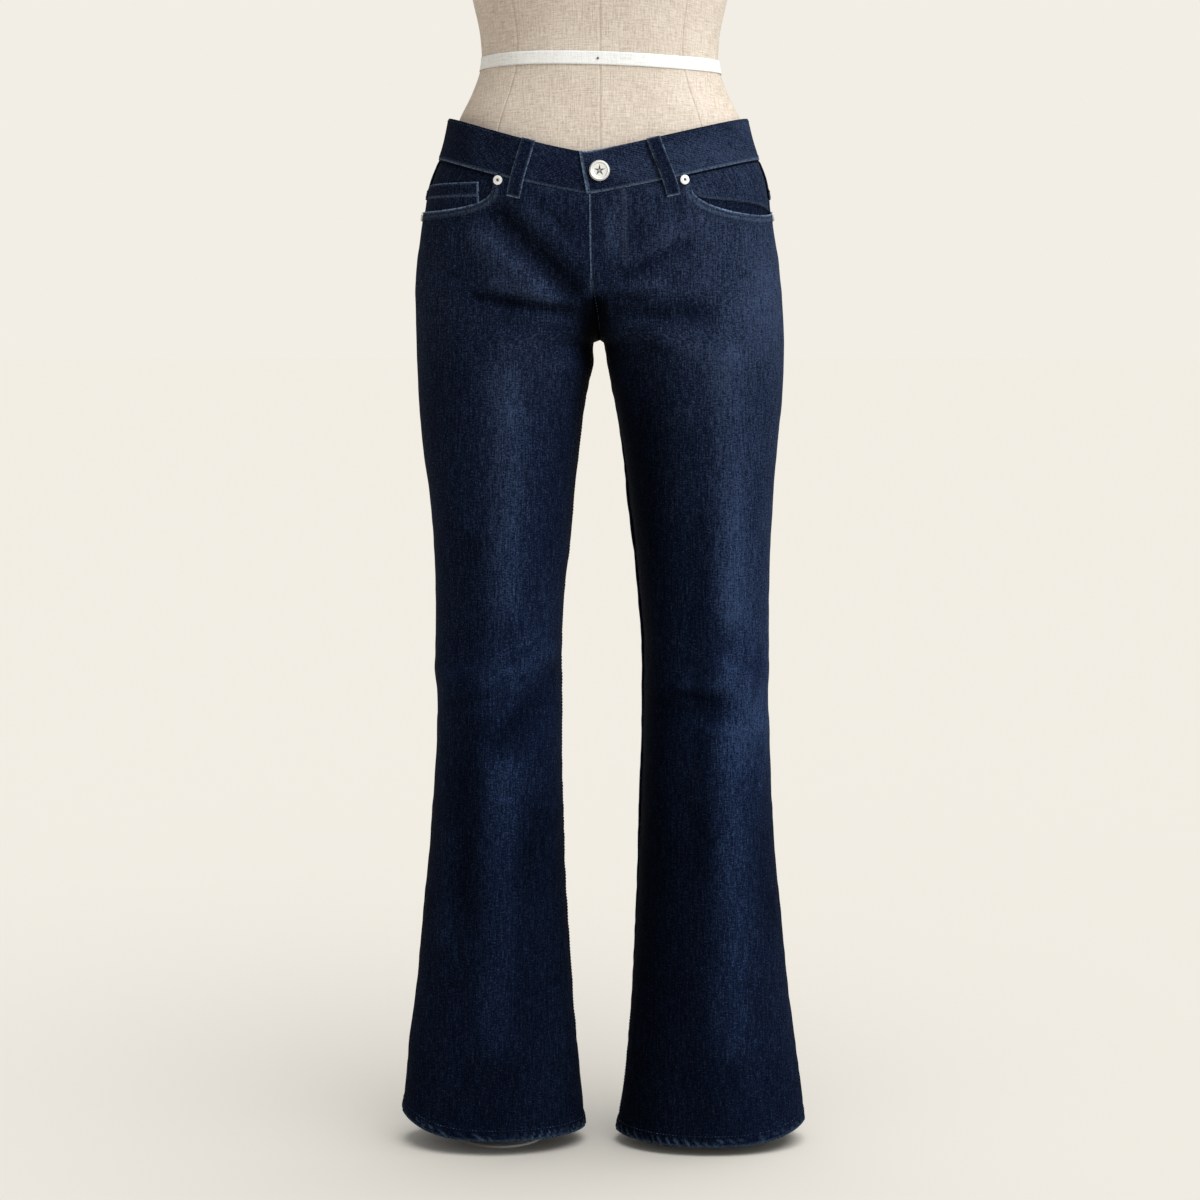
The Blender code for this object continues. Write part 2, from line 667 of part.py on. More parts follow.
def pocket_facing(side, name):
    """The denim behind the pocket opening, from the waist seam to a little below the opening's edge."""
    start = pocket_start(side)
    inner = start - FACING_PAST_CORNER

    def place(share_across, share_down):
        across = inner + (1 - inner) * share_across
        top = waist_height(FRONT, across) - SEAM_INSET
        mouth = pocket_mouth_height(side, max(across, start), start)
        bottom = min(mouth, waist_height(FRONT, start)) - FACING_HIDDEN
        height = top + (bottom - top) * share_down
        inset = inset_across(side, FRONT, height, across)
        point = cloth_point(side, FRONT, height, inset, -FACING_DEPTH)
        normal = ring_normal(side, FRONT, np.float64(height), np.float64(inset))
        return point, normal

    return cloth_sheet(name, place, FACING_COLUMNS, FACING_ROWS, FACING_WALL, "indigo_denim")


def coin_pocket(name):
    """The small pocket on the wearer's right facing. Its lower half goes behind the front panel."""
    side = RIGHT

    def place(share_across, share_down):
        height = COIN_TOP - COIN_HEIGHT * share_down
        inner = float(across_of(side, FRONT, height, COIN_INNER))
        across = inner + (COIN_OUTER_ACROSS - inner) * share_across
        point = cloth_point(side, FRONT, height, across, -COIN_DEPTH)
        normal = ring_normal(side, FRONT, np.float64(height), np.float64(across))
        return point, normal

    return cloth_sheet(name, place, *COIN_GRID, COIN_WALL, "indigo_denim")


def back_pocket(side, name):
    """A plain five-sided patch pocket on the seat."""

    def place(share_across, share_down):
        top = BACK_POCKET_TOP
        corner = BACK_POCKET_HEIGHT + BACK_POCKET_TIP * (1 - abs(2 * share_across - 1))
        height = top - corner * share_down
        inner = BACK_POCKET_TOP_INNER + (BACK_POCKET_BOTTOM_INNER - BACK_POCKET_TOP_INNER) * share_down
        outer = BACK_POCKET_TOP_OUTER + (BACK_POCKET_BOTTOM_OUTER - BACK_POCKET_TOP_OUTER) * share_down
        level = inner + (outer - inner) * share_across
        across = float(across_of(side, BACK, height, level))
        out = PATCH_GAP + BACK_POCKET_WALL
        point = cloth_point(side, BACK, height, across, out)
        normal = ring_normal(side, BACK, np.float64(height), np.float64(across))
        return point, normal

    return cloth_sheet(name, place, *BACK_POCKET_GRID, BACK_POCKET_WALL, "indigo_denim")


def way_at(level):
    """Distance round the waist of a point this far from the centre front, measured level."""
    return math.copysign(float(across_of(LEFT, FRONT, POCKET_CORNER_HEIGHT, abs(level))), level)


def waistband(name):
    """One strip from its hidden end under the button, round the wearer's right, the back and the left, to the
    button end, which laps over the start."""
    hidden_end = way_at(BAND_UNDERLAP)
    level_again = way_at(-BAND_LEVEL_AGAIN)

    def place(share_along, share_down):
        end_level = BAND_END_TOP + (BAND_END_BOTTOM - BAND_END_TOP) * share_down
        # The strip starts towards the wearer's right, so the distance round the waist falls along it.
        way = hidden_end - (4 + hidden_end - way_at(-end_level)) * share_along
        side, face, across = round_the_waist(way)
        low = float(waist_height(face, across)) + BAND_INSET
        height = low + BAND_HEIGHT * (1 - share_down)
        depth = BAND_UNDER * float(smooth_step((way - (level_again - BAND_RAMP)) / BAND_RAMP))
        point = cloth_point(side, face, height, across, -depth)
        normal = ring_normal(side, face, np.float64(height), np.float64(across))
        return point, normal

    return cloth_sheet(name, place, BAND_COLUMNS, BAND_ROWS, BAND_WALL, "indigo_denim_cross")


def belt_loop(name, top_way, bottom_way):
    """A strap tacked at both ends and standing off the waistband between them."""

    def place(share_across, share_down):
        way = top_way + (bottom_way - top_way) * share_down
        side, face, across = round_the_waist(way)
        low = float(waist_height(face, across)) - LOOP_BELOW
        high = float(waist_height(face, across)) + BAND_HEIGHT + LOOP_ABOVE
        height = high + (low - high) * share_down
        here = cloth_point(side, face, height, across)
        ahead_side, ahead_face, ahead_across = round_the_waist(way + LOOP_STEP)
        ahead = cloth_point(ahead_side, ahead_face, height, ahead_across)
        way_per_metre = LOOP_STEP / float(np.linalg.norm(ahead - here))
        side, face, across = round_the_waist(way + (share_across - 0.5) * LOOP_WIDTH * way_per_metre)
        arch = math.sin(math.pi * share_down) ** LOOP_ARCH
        out = 2 * LAYER_GAP + LOOP_WALL + LOOP_STAND_OFF * arch
        point = cloth_point(side, face, height, across, out)
        normal = ring_normal(side, face, np.float64(height), np.float64(across))
        return point, normal

    return cloth_sheet(name, place, *LOOP_GRID, LOOP_WALL, "indigo_denim")


def make_trims():
    button = turned("tack_button", BUTTON_PROFILE, BUTTON_STEPS, "silver_metal")
    level = BUTTON_FROM_EDGE
    across = float(across_of(LEFT, FRONT, BUTTON_HEIGHT, level))
    seat_on_cloth(button, LEFT, FRONT, BUTTON_HEIGHT, across, 2 * LAYER_GAP)
    for side, word in ((RIGHT, "right"), (LEFT, "left")):
        start = pocket_start(side)
        rivet = turned("rivet_inner_" + word, RIVET_PROFILE, RIVET_STEPS, "silver_metal")
        height = float(waist_height(FRONT, start)) - RIVET_BELOW_WAIST
        seat_on_cloth(rivet, side, FRONT, height, start - RIVET_INSIDE, 2 * LAYER_GAP)
        rivet = turned("rivet_side_" + word, RIVET_PROFILE, RIVET_STEPS, "silver_metal")
        height = float(pocket_mouth_height(side, 1.0, start)) - RIVET_BELOW_MOUTH
        seat_on_cloth(rivet, side, FRONT, height, SIDE_RIVET_ACROSS, LAYER_GAP)


# ---------------------------------------------------------------- the dress form and its stand
def dress_form(name):
    """Rings from the underside to the neck, joined and closed flat at both ends."""
    bm = bmesh.new()
    rings = []
    for row in FORM_ROWS:
        size = dict(zip(FORM_COLUMNS, row))
        ring = []
        for i in range(FORM_SEGMENTS):
            turn = 2 * math.pi * (i + 0.5) / FORM_SEGMENTS
            cosine = math.cos(turn)
            sine = math.sin(turn)
            depth = size["back"] if sine > 0 else size["front"]
            x = math.copysign(abs(cosine) ** (2 / FORM_ROUNDNESS), cosine) * size["half_width"]
            y = math.copysign(abs(sine) ** (2 / FORM_ROUNDNESS), sine) * depth
            ring.append(bm.verts.new((size["middle"] + x, y, size["height"])))
        rings.append(ring)
    for low, high in zip(rings, rings[1:]):
        for i in range(FORM_SEGMENTS):
            after = (i + 1) % FORM_SEGMENTS
            bm.faces.new((low[i], low[after], high[after], high[i]))
    bm.faces.new(reversed(rings[0]))
    bm.faces.new(rings[-1])
    return add_object(name, bm, "linen", FORM_SHARP_ANGLE)


def make_stand():
    form_bottom = FORM_ROWS[0][0]
    form_top = FORM_ROWS[-1][0]
    cap = turned("neck_cap", CAP_PROFILE, CAP_STEPS, "turned_wood")
    cap.location = (0.0, NECK_MIDDLE_BACK, form_top + LAYER_GAP)
    rod_top = form_bottom - LAYER_GAP
    rod_bottom = FOOT_BOSS_HEIGHT + LAYER_GAP
    rod_profile = (
        (0.0, rod_top),
        (FLANGE_RADIUS, rod_top),
        (FLANGE_RADIUS, rod_top - FLANGE_HEIGHT),
        (ROD_RADIUS, rod_top - 2 * FLANGE_HEIGHT),
        (ROD_RADIUS, rod_bottom),
        (0.0, rod_bottom),
    )
    foot_profile = (
        (0.0, FOOT_BOSS_HEIGHT),
        (FOOT_BOSS_RADIUS - FOOT_EDGE, FOOT_BOSS_HEIGHT),
        (FOOT_BOSS_RADIUS, FOOT_BOSS_HEIGHT - FOOT_EDGE),
        (FOOT_BOSS_RADIUS + FOOT_EDGE, FOOT_HEIGHT),
        (FOOT_RADIUS - FOOT_EDGE, FOOT_HEIGHT),
        (FOOT_RADIUS, FOOT_HEIGHT - FOOT_EDGE),
        (FOOT_RADIUS, 0.0),
        (0.0, 0.0),
    )
    for side, word in ((RIGHT, "right"), (LEFT, "left")):
        rod = turned("stand_rod_" + word, rod_profile, ROD_STEPS, "stand_steel")
        rod.location = (side * ROD_ACROSS, ROD_BACK, 0.0)
        foot = turned("stand_foot_" + word, foot_profile, STAND_STEPS, "stand_steel")
        foot.location = (side * ROD_ACROSS, ROD_BACK, 0.0)


clear_scene()
MATERIALS = make_finishes()
PARTS = bpy.data.collections.new(COLLECTION_NAME)
bpy.context.scene.collection.children.link(PARTS)

for body_side, side_word in ((RIGHT, "right"), (LEFT, "left")):
    front_panel(body_side, "front_panel_" + side_word)
    back_panel(body_side, "back_panel_" + side_word)
    yoke(body_side, "yoke_" + side_word)
    pocket_facing(body_side, "pocket_facing_" + side_word)
    back_pocket(body_side, "back_pocket_" + side_word)
coin_pocket("coin_pocket")
waistband("waistband")
for loop_row in LOOP_ROWS:
    loop = dict(zip(LOOP_COLUMNS, loop_row))
    belt_loop(loop["name"], loop["top"], loop["bottom"])
make_trims()
dress_form("dress_form")
make_stand()
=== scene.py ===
# %% [markdown]
# # Bootcut jeans on a dress form
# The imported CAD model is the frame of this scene. Every cloth piece below is drawn again on the same rings as
# its solid, with many more points, so that creases, seams and rolled edges come from real shape.

# %% Load the frame
import json
import math

import bmesh
import bpy
import numpy as np
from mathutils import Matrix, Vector
from mathutils.bvhtree import BVHTree

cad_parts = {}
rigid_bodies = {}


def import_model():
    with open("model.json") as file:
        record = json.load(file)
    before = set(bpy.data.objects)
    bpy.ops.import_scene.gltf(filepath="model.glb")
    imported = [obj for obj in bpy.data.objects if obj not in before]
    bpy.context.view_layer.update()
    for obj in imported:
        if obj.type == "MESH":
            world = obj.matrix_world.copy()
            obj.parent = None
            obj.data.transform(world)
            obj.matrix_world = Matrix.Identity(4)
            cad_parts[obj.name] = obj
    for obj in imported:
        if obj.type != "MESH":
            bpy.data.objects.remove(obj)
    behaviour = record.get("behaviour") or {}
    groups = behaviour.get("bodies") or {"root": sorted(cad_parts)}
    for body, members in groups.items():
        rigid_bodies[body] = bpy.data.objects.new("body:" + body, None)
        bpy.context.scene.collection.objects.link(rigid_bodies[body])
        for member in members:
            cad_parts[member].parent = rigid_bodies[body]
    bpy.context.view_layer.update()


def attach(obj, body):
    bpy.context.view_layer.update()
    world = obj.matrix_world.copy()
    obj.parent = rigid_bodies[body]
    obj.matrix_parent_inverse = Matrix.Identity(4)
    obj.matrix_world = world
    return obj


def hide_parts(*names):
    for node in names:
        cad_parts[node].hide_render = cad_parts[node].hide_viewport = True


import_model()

RIGHT, LEFT = -1, 1
FRONT, BACK = -1, 1
SIDES = ((RIGHT, "right"), (LEFT, "left"))


def new_object(name, data):
    """An object with this name and data, in the scene."""
    thing = bpy.data.objects.new(name, data)
    bpy.context.scene.collection.objects.link(thing)
    return thing


def declare(piece, node=None):
    """Fixes a piece to the one body. It stands for its solid where it has one."""
    if node:
        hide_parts(node)
    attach(piece, "root")


# %% [markdown]
# ## Camera, floor and light
# The photograph was taken from the front, a little above the knees and looking slightly down. A pale floor
# meets a pale sky of the same colour, which works from every side, where a studio backdrop would stand in
# the way of a camera behind it. A high soft sun gives the small shadow round the hems. A lower one from the
# viewer's right models the folds, and the sky fills the shadows.

# %% Camera
CAMERA_PLACE = (0.0, -2.4, 0.85)
CAMERA_TARGET = (0.0, 0.0, 0.56)
CAMERA_LENS = 72.3  # on a sensor 36 mm wide

camera_data = bpy.data.cameras.new("camera")
camera_data.lens = CAMERA_LENS
camera_data.sensor_width = 36.0
camera = new_object("camera", camera_data)
camera.location = CAMERA_PLACE
camera.rotation_euler = (Vector(CAMERA_TARGET) - Vector(CAMERA_PLACE)).to_track_quat("-Z", "Y").to_euler()
bpy.context.scene.camera = camera
bpy.context.scene.view_settings.view_transform = "Standard"
print("camera at", CAMERA_PLACE, "looking at", CAMERA_TARGET)


# %% Helpers for node trees
def feed(node, values):
    """Gives values to a node's inputs, by name or number. A socket is linked, anything else is set."""
    for label, value in values.items():
        if isinstance(value, bpy.types.NodeSocket):
            node.id_data.links.new(value, node.inputs[label])
        else:
            node.inputs[label].default_value = value
    return node


def add_node(tree, kind, values=None, **settings):
    """A new node with its settings and the values of its inputs."""
    node = tree.nodes.new(kind)
    for name, value in settings.items():
        setattr(node, name, value)
    return feed(node, values or {})


def result(tree, kind, values=None, output=0, **settings):
    """One output socket of a new node."""
    return add_node(tree, kind, values, **settings).outputs[output]


def maths(tree, operation, *inputs, clamp=False):
    return result(tree, "ShaderNodeMath", dict(enumerate(inputs)), operation=operation, use_clamp=clamp)


def blend(tree, factor, a, b):
    """A mix of two colours."""
    return result(tree, "ShaderNodeMix", {"Factor": factor, "A": a, "B": b}, "Result", data_type="RGBA")


def map_range(tree, value, low, high, to_low=0.0, to_high=1.0):
    """A value between two limits, moved to between two others."""
    limits = {"From Min": low, "From Max": high, "To Min": to_low, "To Max": to_high}
    return result(tree, "ShaderNodeMapRange", {"Value": value, **limits})


def object_place(tree):
    return result(tree, "ShaderNodeTexCoord", output="Object")


def attribute(tree, name):
    return result(tree, "ShaderNodeAttribute", output="Fac", attribute_name=name)


def noise(tree, place, scale, detail, **more):
    values = {"Vector": place, "Scale": scale, "Detail": detail, **more}
    return result(tree, "ShaderNodeTexNoise", values, "Fac")


def stretched_noise(tree, place, across, along, detail):
    """Noise drawn out along the threads: its scale across and along them, per metre."""
    scaled = result(tree, "ShaderNodeVectorMath", {0: place, 1: (across, along, 1.0)}, operation="MULTIPLY")
    return noise(tree, scaled, 1.0, detail, Roughness=0.6)


def weighted_sum(tree, start, rows):
    """start plus each (socket, weight) row, centred on a half."""
    total = start
    for socket, weight in rows:
        total = maths(tree, "MULTIPLY_ADD", maths(tree, "SUBTRACT", socket, 0.5), weight, total)
    return total


def new_group(name, inputs, outputs, kind="ShaderNodeTree"):
    """A node group with these sockets, the sockets of its input node, and its output node."""
    tree = bpy.data.node_groups.new(name, kind)
    for label, socket_type, value in inputs:
        socket = tree.interface.new_socket(name=label, in_out="INPUT", socket_type=socket_type)
        if value is not None:
            socket.default_value = value
    for label, socket_type in outputs:
        tree.interface.new_socket(name=label, in_out="OUTPUT", socket_type=socket_type)
    return tree, tree.nodes.new("NodeGroupInput").outputs, tree.nodes.new("NodeGroupOutput")


def new_material(name, values):
    """A material, its tree, and its shader with these values."""
    material = bpy.data.materials.new(name)
    material.use_nodes = True
    return material, material.node_tree, feed(material.node_tree.nodes["Principled BSDF"], values)


def colour_and_relief(shader, colour, height, depth, strength=1.0):
    """Gives a shader its colour and a bump of this depth in metres."""
    bump = {"Strength": strength, "Distance": depth, "Height": height}
    feed(shader, {"Base Color": colour, "Normal": result(shader.id_data, "ShaderNodeBump", bump)})


NUMBER, VECTOR = "NodeSocketFloat", "NodeSocketVector"
COLOUR, GEOMETRY = "NodeSocketColor", "NodeSocketGeometry"
print("helpers ready")

# %% Sky and sun
SKY_SEEN = (0.888, 0.855, 0.784, 1.0)  # linear values of the pale backdrop
SKY_LIGHT = (1.0, 0.985, 0.96, 1.0)
SKY_STRENGTH = 0.46
SUN_COLUMNS = ("name", "strength", "colour", "size", "come_from")
SUN_ROWS = (
    ("high_sun", 2.14, (1.0, 0.985, 0.955), 55, (0.48, -0.35, 2.00)),
    ("side_sun", 2.45, (0.90, 0.98, 1.06), 30, (1.50, -1.10, 0.90)),
)


def make_sky():
    """A pale backdrop for the camera, and a dimmer sky that lights the object."""
    world = bpy.data.worlds.new("sky")
    world.use_nodes = True
    tree = world.node_tree
    tree.nodes.clear()
    seen = result(tree, "ShaderNodeBackground", {"Color": SKY_SEEN, "Strength": 1.0})
    lighting = result(tree, "ShaderNodeBackground", {"Color": SKY_LIGHT, "Strength": SKY_STRENGTH})
    to_camera = result(tree, "ShaderNodeLightPath", output="Is Camera Ray")
    chosen = result(tree, "ShaderNodeMixShader", {0: to_camera, 1: lighting, 2: seen})
    add_node(tree, "ShaderNodeOutputWorld", {"Surface": chosen})
    bpy.context.scene.world = world


def make_suns():
    """Both suns by name. The last cell keeps the side sun off the floor, so the floor has one soft shadow."""
    lamps = {}
    for row in SUN_ROWS:
        sun = dict(zip(SUN_COLUMNS, row))
        data = bpy.data.lights.new(sun["name"], "SUN")
        data.energy = sun["strength"]
        data.color = sun["colour"]
        data.angle = math.radians(sun["size"])
        lamp = new_object(sun["name"], data)
        lamp.rotation_euler = Vector(sun["come_from"]).to_track_quat("Z", "Y").to_euler()
        lamps[sun["name"]] = lamp
    return lamps


make_sky()
SUNS = make_suns()
print("sky and suns made")

# %% Floor
FLOOR_RADIUS, FLOOR_CORNERS = 40.0, 96
FLOOR_COLOUR = (0.797, 0.776, 0.728, 1.0)


def make_floor():
    mesh = bpy.data.meshes.new("floor")
    turns = [2 * math.pi * i / FLOOR_CORNERS for i in range(FLOOR_CORNERS)]
    rim = [(FLOOR_RADIUS * math.cos(t), FLOOR_RADIUS * math.sin(t), 0.0) for t in turns]
    mesh.from_pydata(rim, [], [list(range(FLOOR_CORNERS))])
    matt = {"Base Color": FLOOR_COLOUR, "Roughness": 1.0, "Specular IOR Level": 0.0}
    mesh.materials.append(new_material("pale_floor", matt)[0])
    new_object("floor", mesh)


make_floor()
print("floor made")

# %% [markdown]
# ## The sizes of the jeans
# The solids were made from these sizes: rings from waist to hem, the inseams, the line of the centre front
# and the large folds. Only just under the crotch do the inseams open more squarely here. With the tables, any
# point of the cloth can be worked out at any fineness.

# %% Rings of the jeans
GIRTH_COLUMNS = ("height", "outer_right", "outer_left", "front", "back", "roundness")
GIRTH_ROWS = (
    (1.070, 0.1430, 0.1420, 0.0935, 0.0970, 2.30),
    (1.036, 0.1478, 0.1452, 0.0955, 0.1000, 2.30),
    (0.994, 0.1585, 0.1565, 0.0990, 0.1060, 2.30),
    (0.975, 0.1665, 0.1635, 0.1005, 0.1100, 2.30),
    (0.946, 0.1725, 0.1680, 0.1020, 0.1145, 2.30),
    (0.918, 0.1768, 0.1722, 0.1030, 0.1180, 2.30),
    (0.890, 0.1800, 0.1765, 0.1030, 0.1190, 2.28),
    (0.853, 0.1812, 0.1800, 0.1005, 0.1165, 2.26),
    (0.820, 0.1812, 0.1812, 0.0970, 0.1090, 2.24),
    (0.780, 0.1800, 0.1808, 0.0930, 0.0980, 2.22),
    (0.739, 0.1778, 0.1780, 0.0895, 0.0900, 2.20),
    (0.705, 0.1745, 0.1750, 0.0865, 0.0835, 2.20),
    (0.664, 0.1692, 0.1720, 0.0830, 0.0770, 2.20),
    (0.620, 0.1660, 0.1695, 0.0800, 0.0720, 2.20),
    (0.573, 0.1648, 0.1688, 0.0770, 0.0680, 2.20),
    (0.520, 0.1645, 0.1692, 0.0740, 0.0650, 2.18),
    (0.490, 0.1660, 0.1695, 0.0724, 0.0640, 2.16),
    (0.468, 0.1640, 0.1690, 0.0710, 0.0630, 2.15),
    (0.430, 0.1642, 0.1700, 0.0690, 0.0620, 2.12),
    (0.380, 0.1668, 0.1720, 0.0665, 0.0610, 2.10),
    (0.328, 0.1710, 0.1752, 0.0640, 0.0600, 2.08),
    (0.284, 0.1755, 0.1792, 0.0620, 0.0590, 2.05),
    (0.215, 0.1820, 0.1860, 0.0590, 0.0570, 2.03),
    (0.164, 0.1870, 0.1918, 0.0570, 0.0560, 2.02),
    (0.108, 0.1945, 0.1995, 0.0550, 0.0550, 2.01),
    (0.074, 0.1982, 0.2040, 0.0540, 0.0550, 2.00),
    (0.005, 0.2062, 0.2125, 0.0520, 0.0540, 2.00),
)
INSEAM_COLUMNS = ("height", "inner_right", "inner_left")
INSEAM_ROWS = (
    (0.820, 0.0000, 0.0000),
    (0.818, 0.0058, 0.0034),
    (0.8155, 0.0070, 0.0046),
    (0.811, 0.0073, 0.0052),
    (0.803, 0.0070, 0.0066),
    (0.794, 0.0072, 0.0080),
    (0.780, 0.0108, 0.0106),
    (0.739, 0.0182, 0.0184),
    (0.705, 0.0226, 0.0234),
    (0.664, 0.0278, 0.0276),
    (0.620, 0.0318, 0.0330),
    (0.573, 0.0372, 0.0374),
    (0.520, 0.0406, 0.0416),
    (0.468, 0.0408, 0.0429),
    (0.430, 0.0408, 0.0422),
    (0.380, 0.0402, 0.0410),
    (0.328, 0.0382, 0.0396),
    (0.284, 0.0370, 0.0386),
    (0.215, 0.0325, 0.0359),
    (0.164, 0.0292, 0.0332),
    (0.108, 0.0244, 0.0290),
    (0.074, 0.0213, 0.0260),
    (0.005, 0.0145, 0.0160),
)
CENTRE_FRONT_COLUMNS = ("height", "shift")
CENTRE_FRONT_ROWS = (
    (1.050, -0.0150),
    (0.998, -0.0135),
    (0.957, -0.0105),
    (0.900, -0.0095),
    (0.870, -0.0080),
    (0.840, -0.0030),
    (0.820, -0.0010),
    (0.780, 0.0000),
    (0.000, 0.0000),
)
print(len(GIRTH_ROWS), "rings from waist to hem")

# %% Folds and creases
# The first rows are the solids' own large folds. The rest are finer and live in the cloth only.
FOLD_COLUMNS = ("face", "x1", "z1", "x2", "z2", "half_width", "rise")
FOLD_ROWS = (
    (FRONT, -0.100, 0.935, -0.025, 0.872, 0.016, -0.0016),
    (FRONT, -0.105, 0.905, -0.050, 0.850, 0.020, 0.0030),
    (FRONT, -0.085, 0.848, -0.015, 0.838, 0.012, -0.0045),
    (FRONT, 0.030, 0.878, 0.075, 0.900, 0.016, -0.0014),
    (FRONT, 0.005, 0.850, 0.100, 0.842, 0.014, -0.0040),
    (FRONT, 0.020, 0.832, 0.090, 0.812, 0.018, 0.0035),
    (FRONT, -0.090, 0.815, -0.020, 0.800, 0.018, 0.0030),
    (FRONT, -0.040, 0.490, -0.100, 0.420, 0.016, -0.0045),
    (FRONT, -0.060, 0.520, -0.130, 0.470, 0.020, 0.0040),
    (FRONT, 0.068, 0.462, 0.112, 0.455, 0.014, -0.0040),
    (FRONT, 0.120, 0.500, 0.158, 0.440, 0.016, 0.0040),
    (BACK, -0.150, 0.762, -0.040, 0.742, 0.016, -0.0045),
    (BACK, 0.150, 0.764, 0.040, 0.744, 0.016, -0.0045),
    (BACK, -0.140, 0.520, -0.060, 0.490, 0.016, -0.0050),
    (BACK, -0.140, 0.480, -0.060, 0.450, 0.018, 0.0040),
    (BACK, 0.145, 0.515, 0.065, 0.480, 0.016, -0.0050),
    (BACK, 0.145, 0.475, 0.065, 0.440, 0.018, 0.0040),
)
CREASE_ROWS = (
    # whiskers that run out from the crotch
    (FRONT, -0.118, 0.861, -0.030, 0.848, 0.0048, -0.0024),
    (FRONT, -0.100, 0.872, -0.040, 0.858, 0.0075, 0.0014),
    (FRONT, -0.090, 0.846, -0.024, 0.837, 0.0070, 0.0012),
    (FRONT, -0.094, 0.938, -0.026, 0.868, 0.0095, -0.0033),
    (FRONT, -0.118, 0.920, -0.060, 0.868, 0.0110, 0.0016),
    (FRONT, -0.065, 0.940, -0.022, 0.898, 0.0080, 0.0010),
    (FRONT, -0.058, 0.948, -0.030, 0.925, 0.0055, -0.0008),
    (FRONT, 0.000, 0.862, 0.045, 0.857, 0.0040, -0.0012),
    (FRONT, 0.020, 0.871, 0.060, 0.872, 0.0065, 0.0009),
    (FRONT, 0.024, 0.880, 0.082, 0.912, 0.0060, -0.0012),
    (FRONT, 0.030, 0.895, 0.080, 0.926, 0.0090, 0.0009),
    (FRONT, 0.016, 0.848, 0.060, 0.842, 0.0055, -0.0014),
    (FRONT, 0.072, 0.948, 0.078, 0.925, 0.0050, -0.0010),
    (FRONT, 0.004, 0.945, 0.008, 0.900, 0.0060, 0.0009),
    (FRONT, 0.038, 0.925, 0.042, 0.890, 0.0060, -0.0007),
    (FRONT, 0.045, 0.848, 0.098, 0.846, 0.0060, -0.0009),
    (FRONT, 0.028, 0.822, 0.060, 0.808, 0.0060, -0.0010),
    (FRONT, -0.028, 0.820, -0.058, 0.803, 0.0060, -0.0010),
    # the front line of each leg, where the cloth stands off
    (FRONT, 0.122, 0.800, 0.124, 0.560, 0.0170, 0.0030),
    (FRONT, 0.124, 0.430, 0.128, 0.120, 0.0190, 0.0034),
    (FRONT, 0.095, 0.640, 0.098, 0.300, 0.0140, -0.0016),
    (FRONT, -0.090, 0.780, -0.092, 0.560, 0.0170, 0.0028),
    (FRONT, -0.096, 0.400, -0.108, 0.120, 0.0190, 0.0030),
    (FRONT, -0.128, 0.620, -0.134, 0.260, 0.0150, -0.0016),
    # knees
    (FRONT, 0.071, 0.476, 0.113, 0.467, 0.0042, -0.0016),
    (FRONT, 0.080, 0.486, 0.118, 0.483, 0.0070, 0.0012),
    (FRONT, 0.158, 0.518, 0.152, 0.468, 0.0040, -0.0012),
    (FRONT, 0.085, 0.448, 0.118, 0.440, 0.0080, 0.0012),
    (FRONT, 0.120, 0.522, 0.150, 0.500, 0.0085, -0.0011),
    (FRONT, -0.040, 0.503, -0.094, 0.436, 0.0050, -0.0005),
    (FRONT, -0.044, 0.530, -0.084, 0.512, 0.0070, -0.0010),
    (FRONT, -0.110, 0.476, -0.150, 0.462, 0.0065, -0.0013),
    (FRONT, -0.120, 0.500, -0.155, 0.492, 0.0065, 0.0010),
    # calves and shins
    (FRONT, 0.075, 0.380, 0.100, 0.330, 0.0100, -0.0010),
    (FRONT, -0.060, 0.350, -0.080, 0.280, 0.0110, -0.0010),
    (FRONT, 0.160, 0.330, 0.168, 0.230, 0.0100, -0.0010),
    (FRONT, -0.150, 0.330, -0.158, 0.220, 0.0100, 0.0012),
    # under the seat and behind the knees
    (BACK, -0.125, 0.790, -0.050, 0.770, 0.0070, -0.0018),
    (BACK, 0.128, 0.792, 0.052, 0.768, 0.0070, -0.0018),
    (BACK, -0.110, 0.740, -0.045, 0.725, 0.0080, -0.0016),
    (BACK, 0.112, 0.742, 0.047, 0.727, 0.0080, -0.0016),
    (BACK, -0.070, 0.815, -0.022, 0.800, 0.0080, 0.0014),
    (BACK, 0.072, 0.813, 0.024, 0.802, 0.0080, 0.0014),
    (BACK, -0.148, 0.535, -0.105, 0.520, 0.0060, -0.0018),
    (BACK, -0.085, 0.500, -0.050, 0.478, 0.0060, -0.0018),
    (BACK, -0.135, 0.455, -0.090, 0.440, 0.0065, -0.0016),
    (BACK, 0.152, 0.530, 0.108, 0.512, 0.0060, -0.0018),
    (BACK, 0.090, 0.500, 0.054, 0.474, 0.0060, -0.0018),
    (BACK, 0.138, 0.452, 0.092, 0.432, 0.0065, -0.0016),
    (BACK, -0.100, 0.420, -0.104, 0.150, 0.0200, 0.0024),
    (BACK, 0.104, 0.420, 0.110, 0.150, 0.0200, 0.0024),
    (BACK, -0.060, 0.340, -0.075, 0.240, 0.0110, -0.0012),
    (BACK, 0.066, 0.330, 0.080, 0.230, 0.0110, -0.0012),
)
FOLD_FREE_CENTRE, CREASE_FREE_CENTRE = 0.030, 0.012
CREASE_GAIN = 1.5
print(len(FOLD_ROWS), "large folds and", len(CREASE_ROWS), "creases")


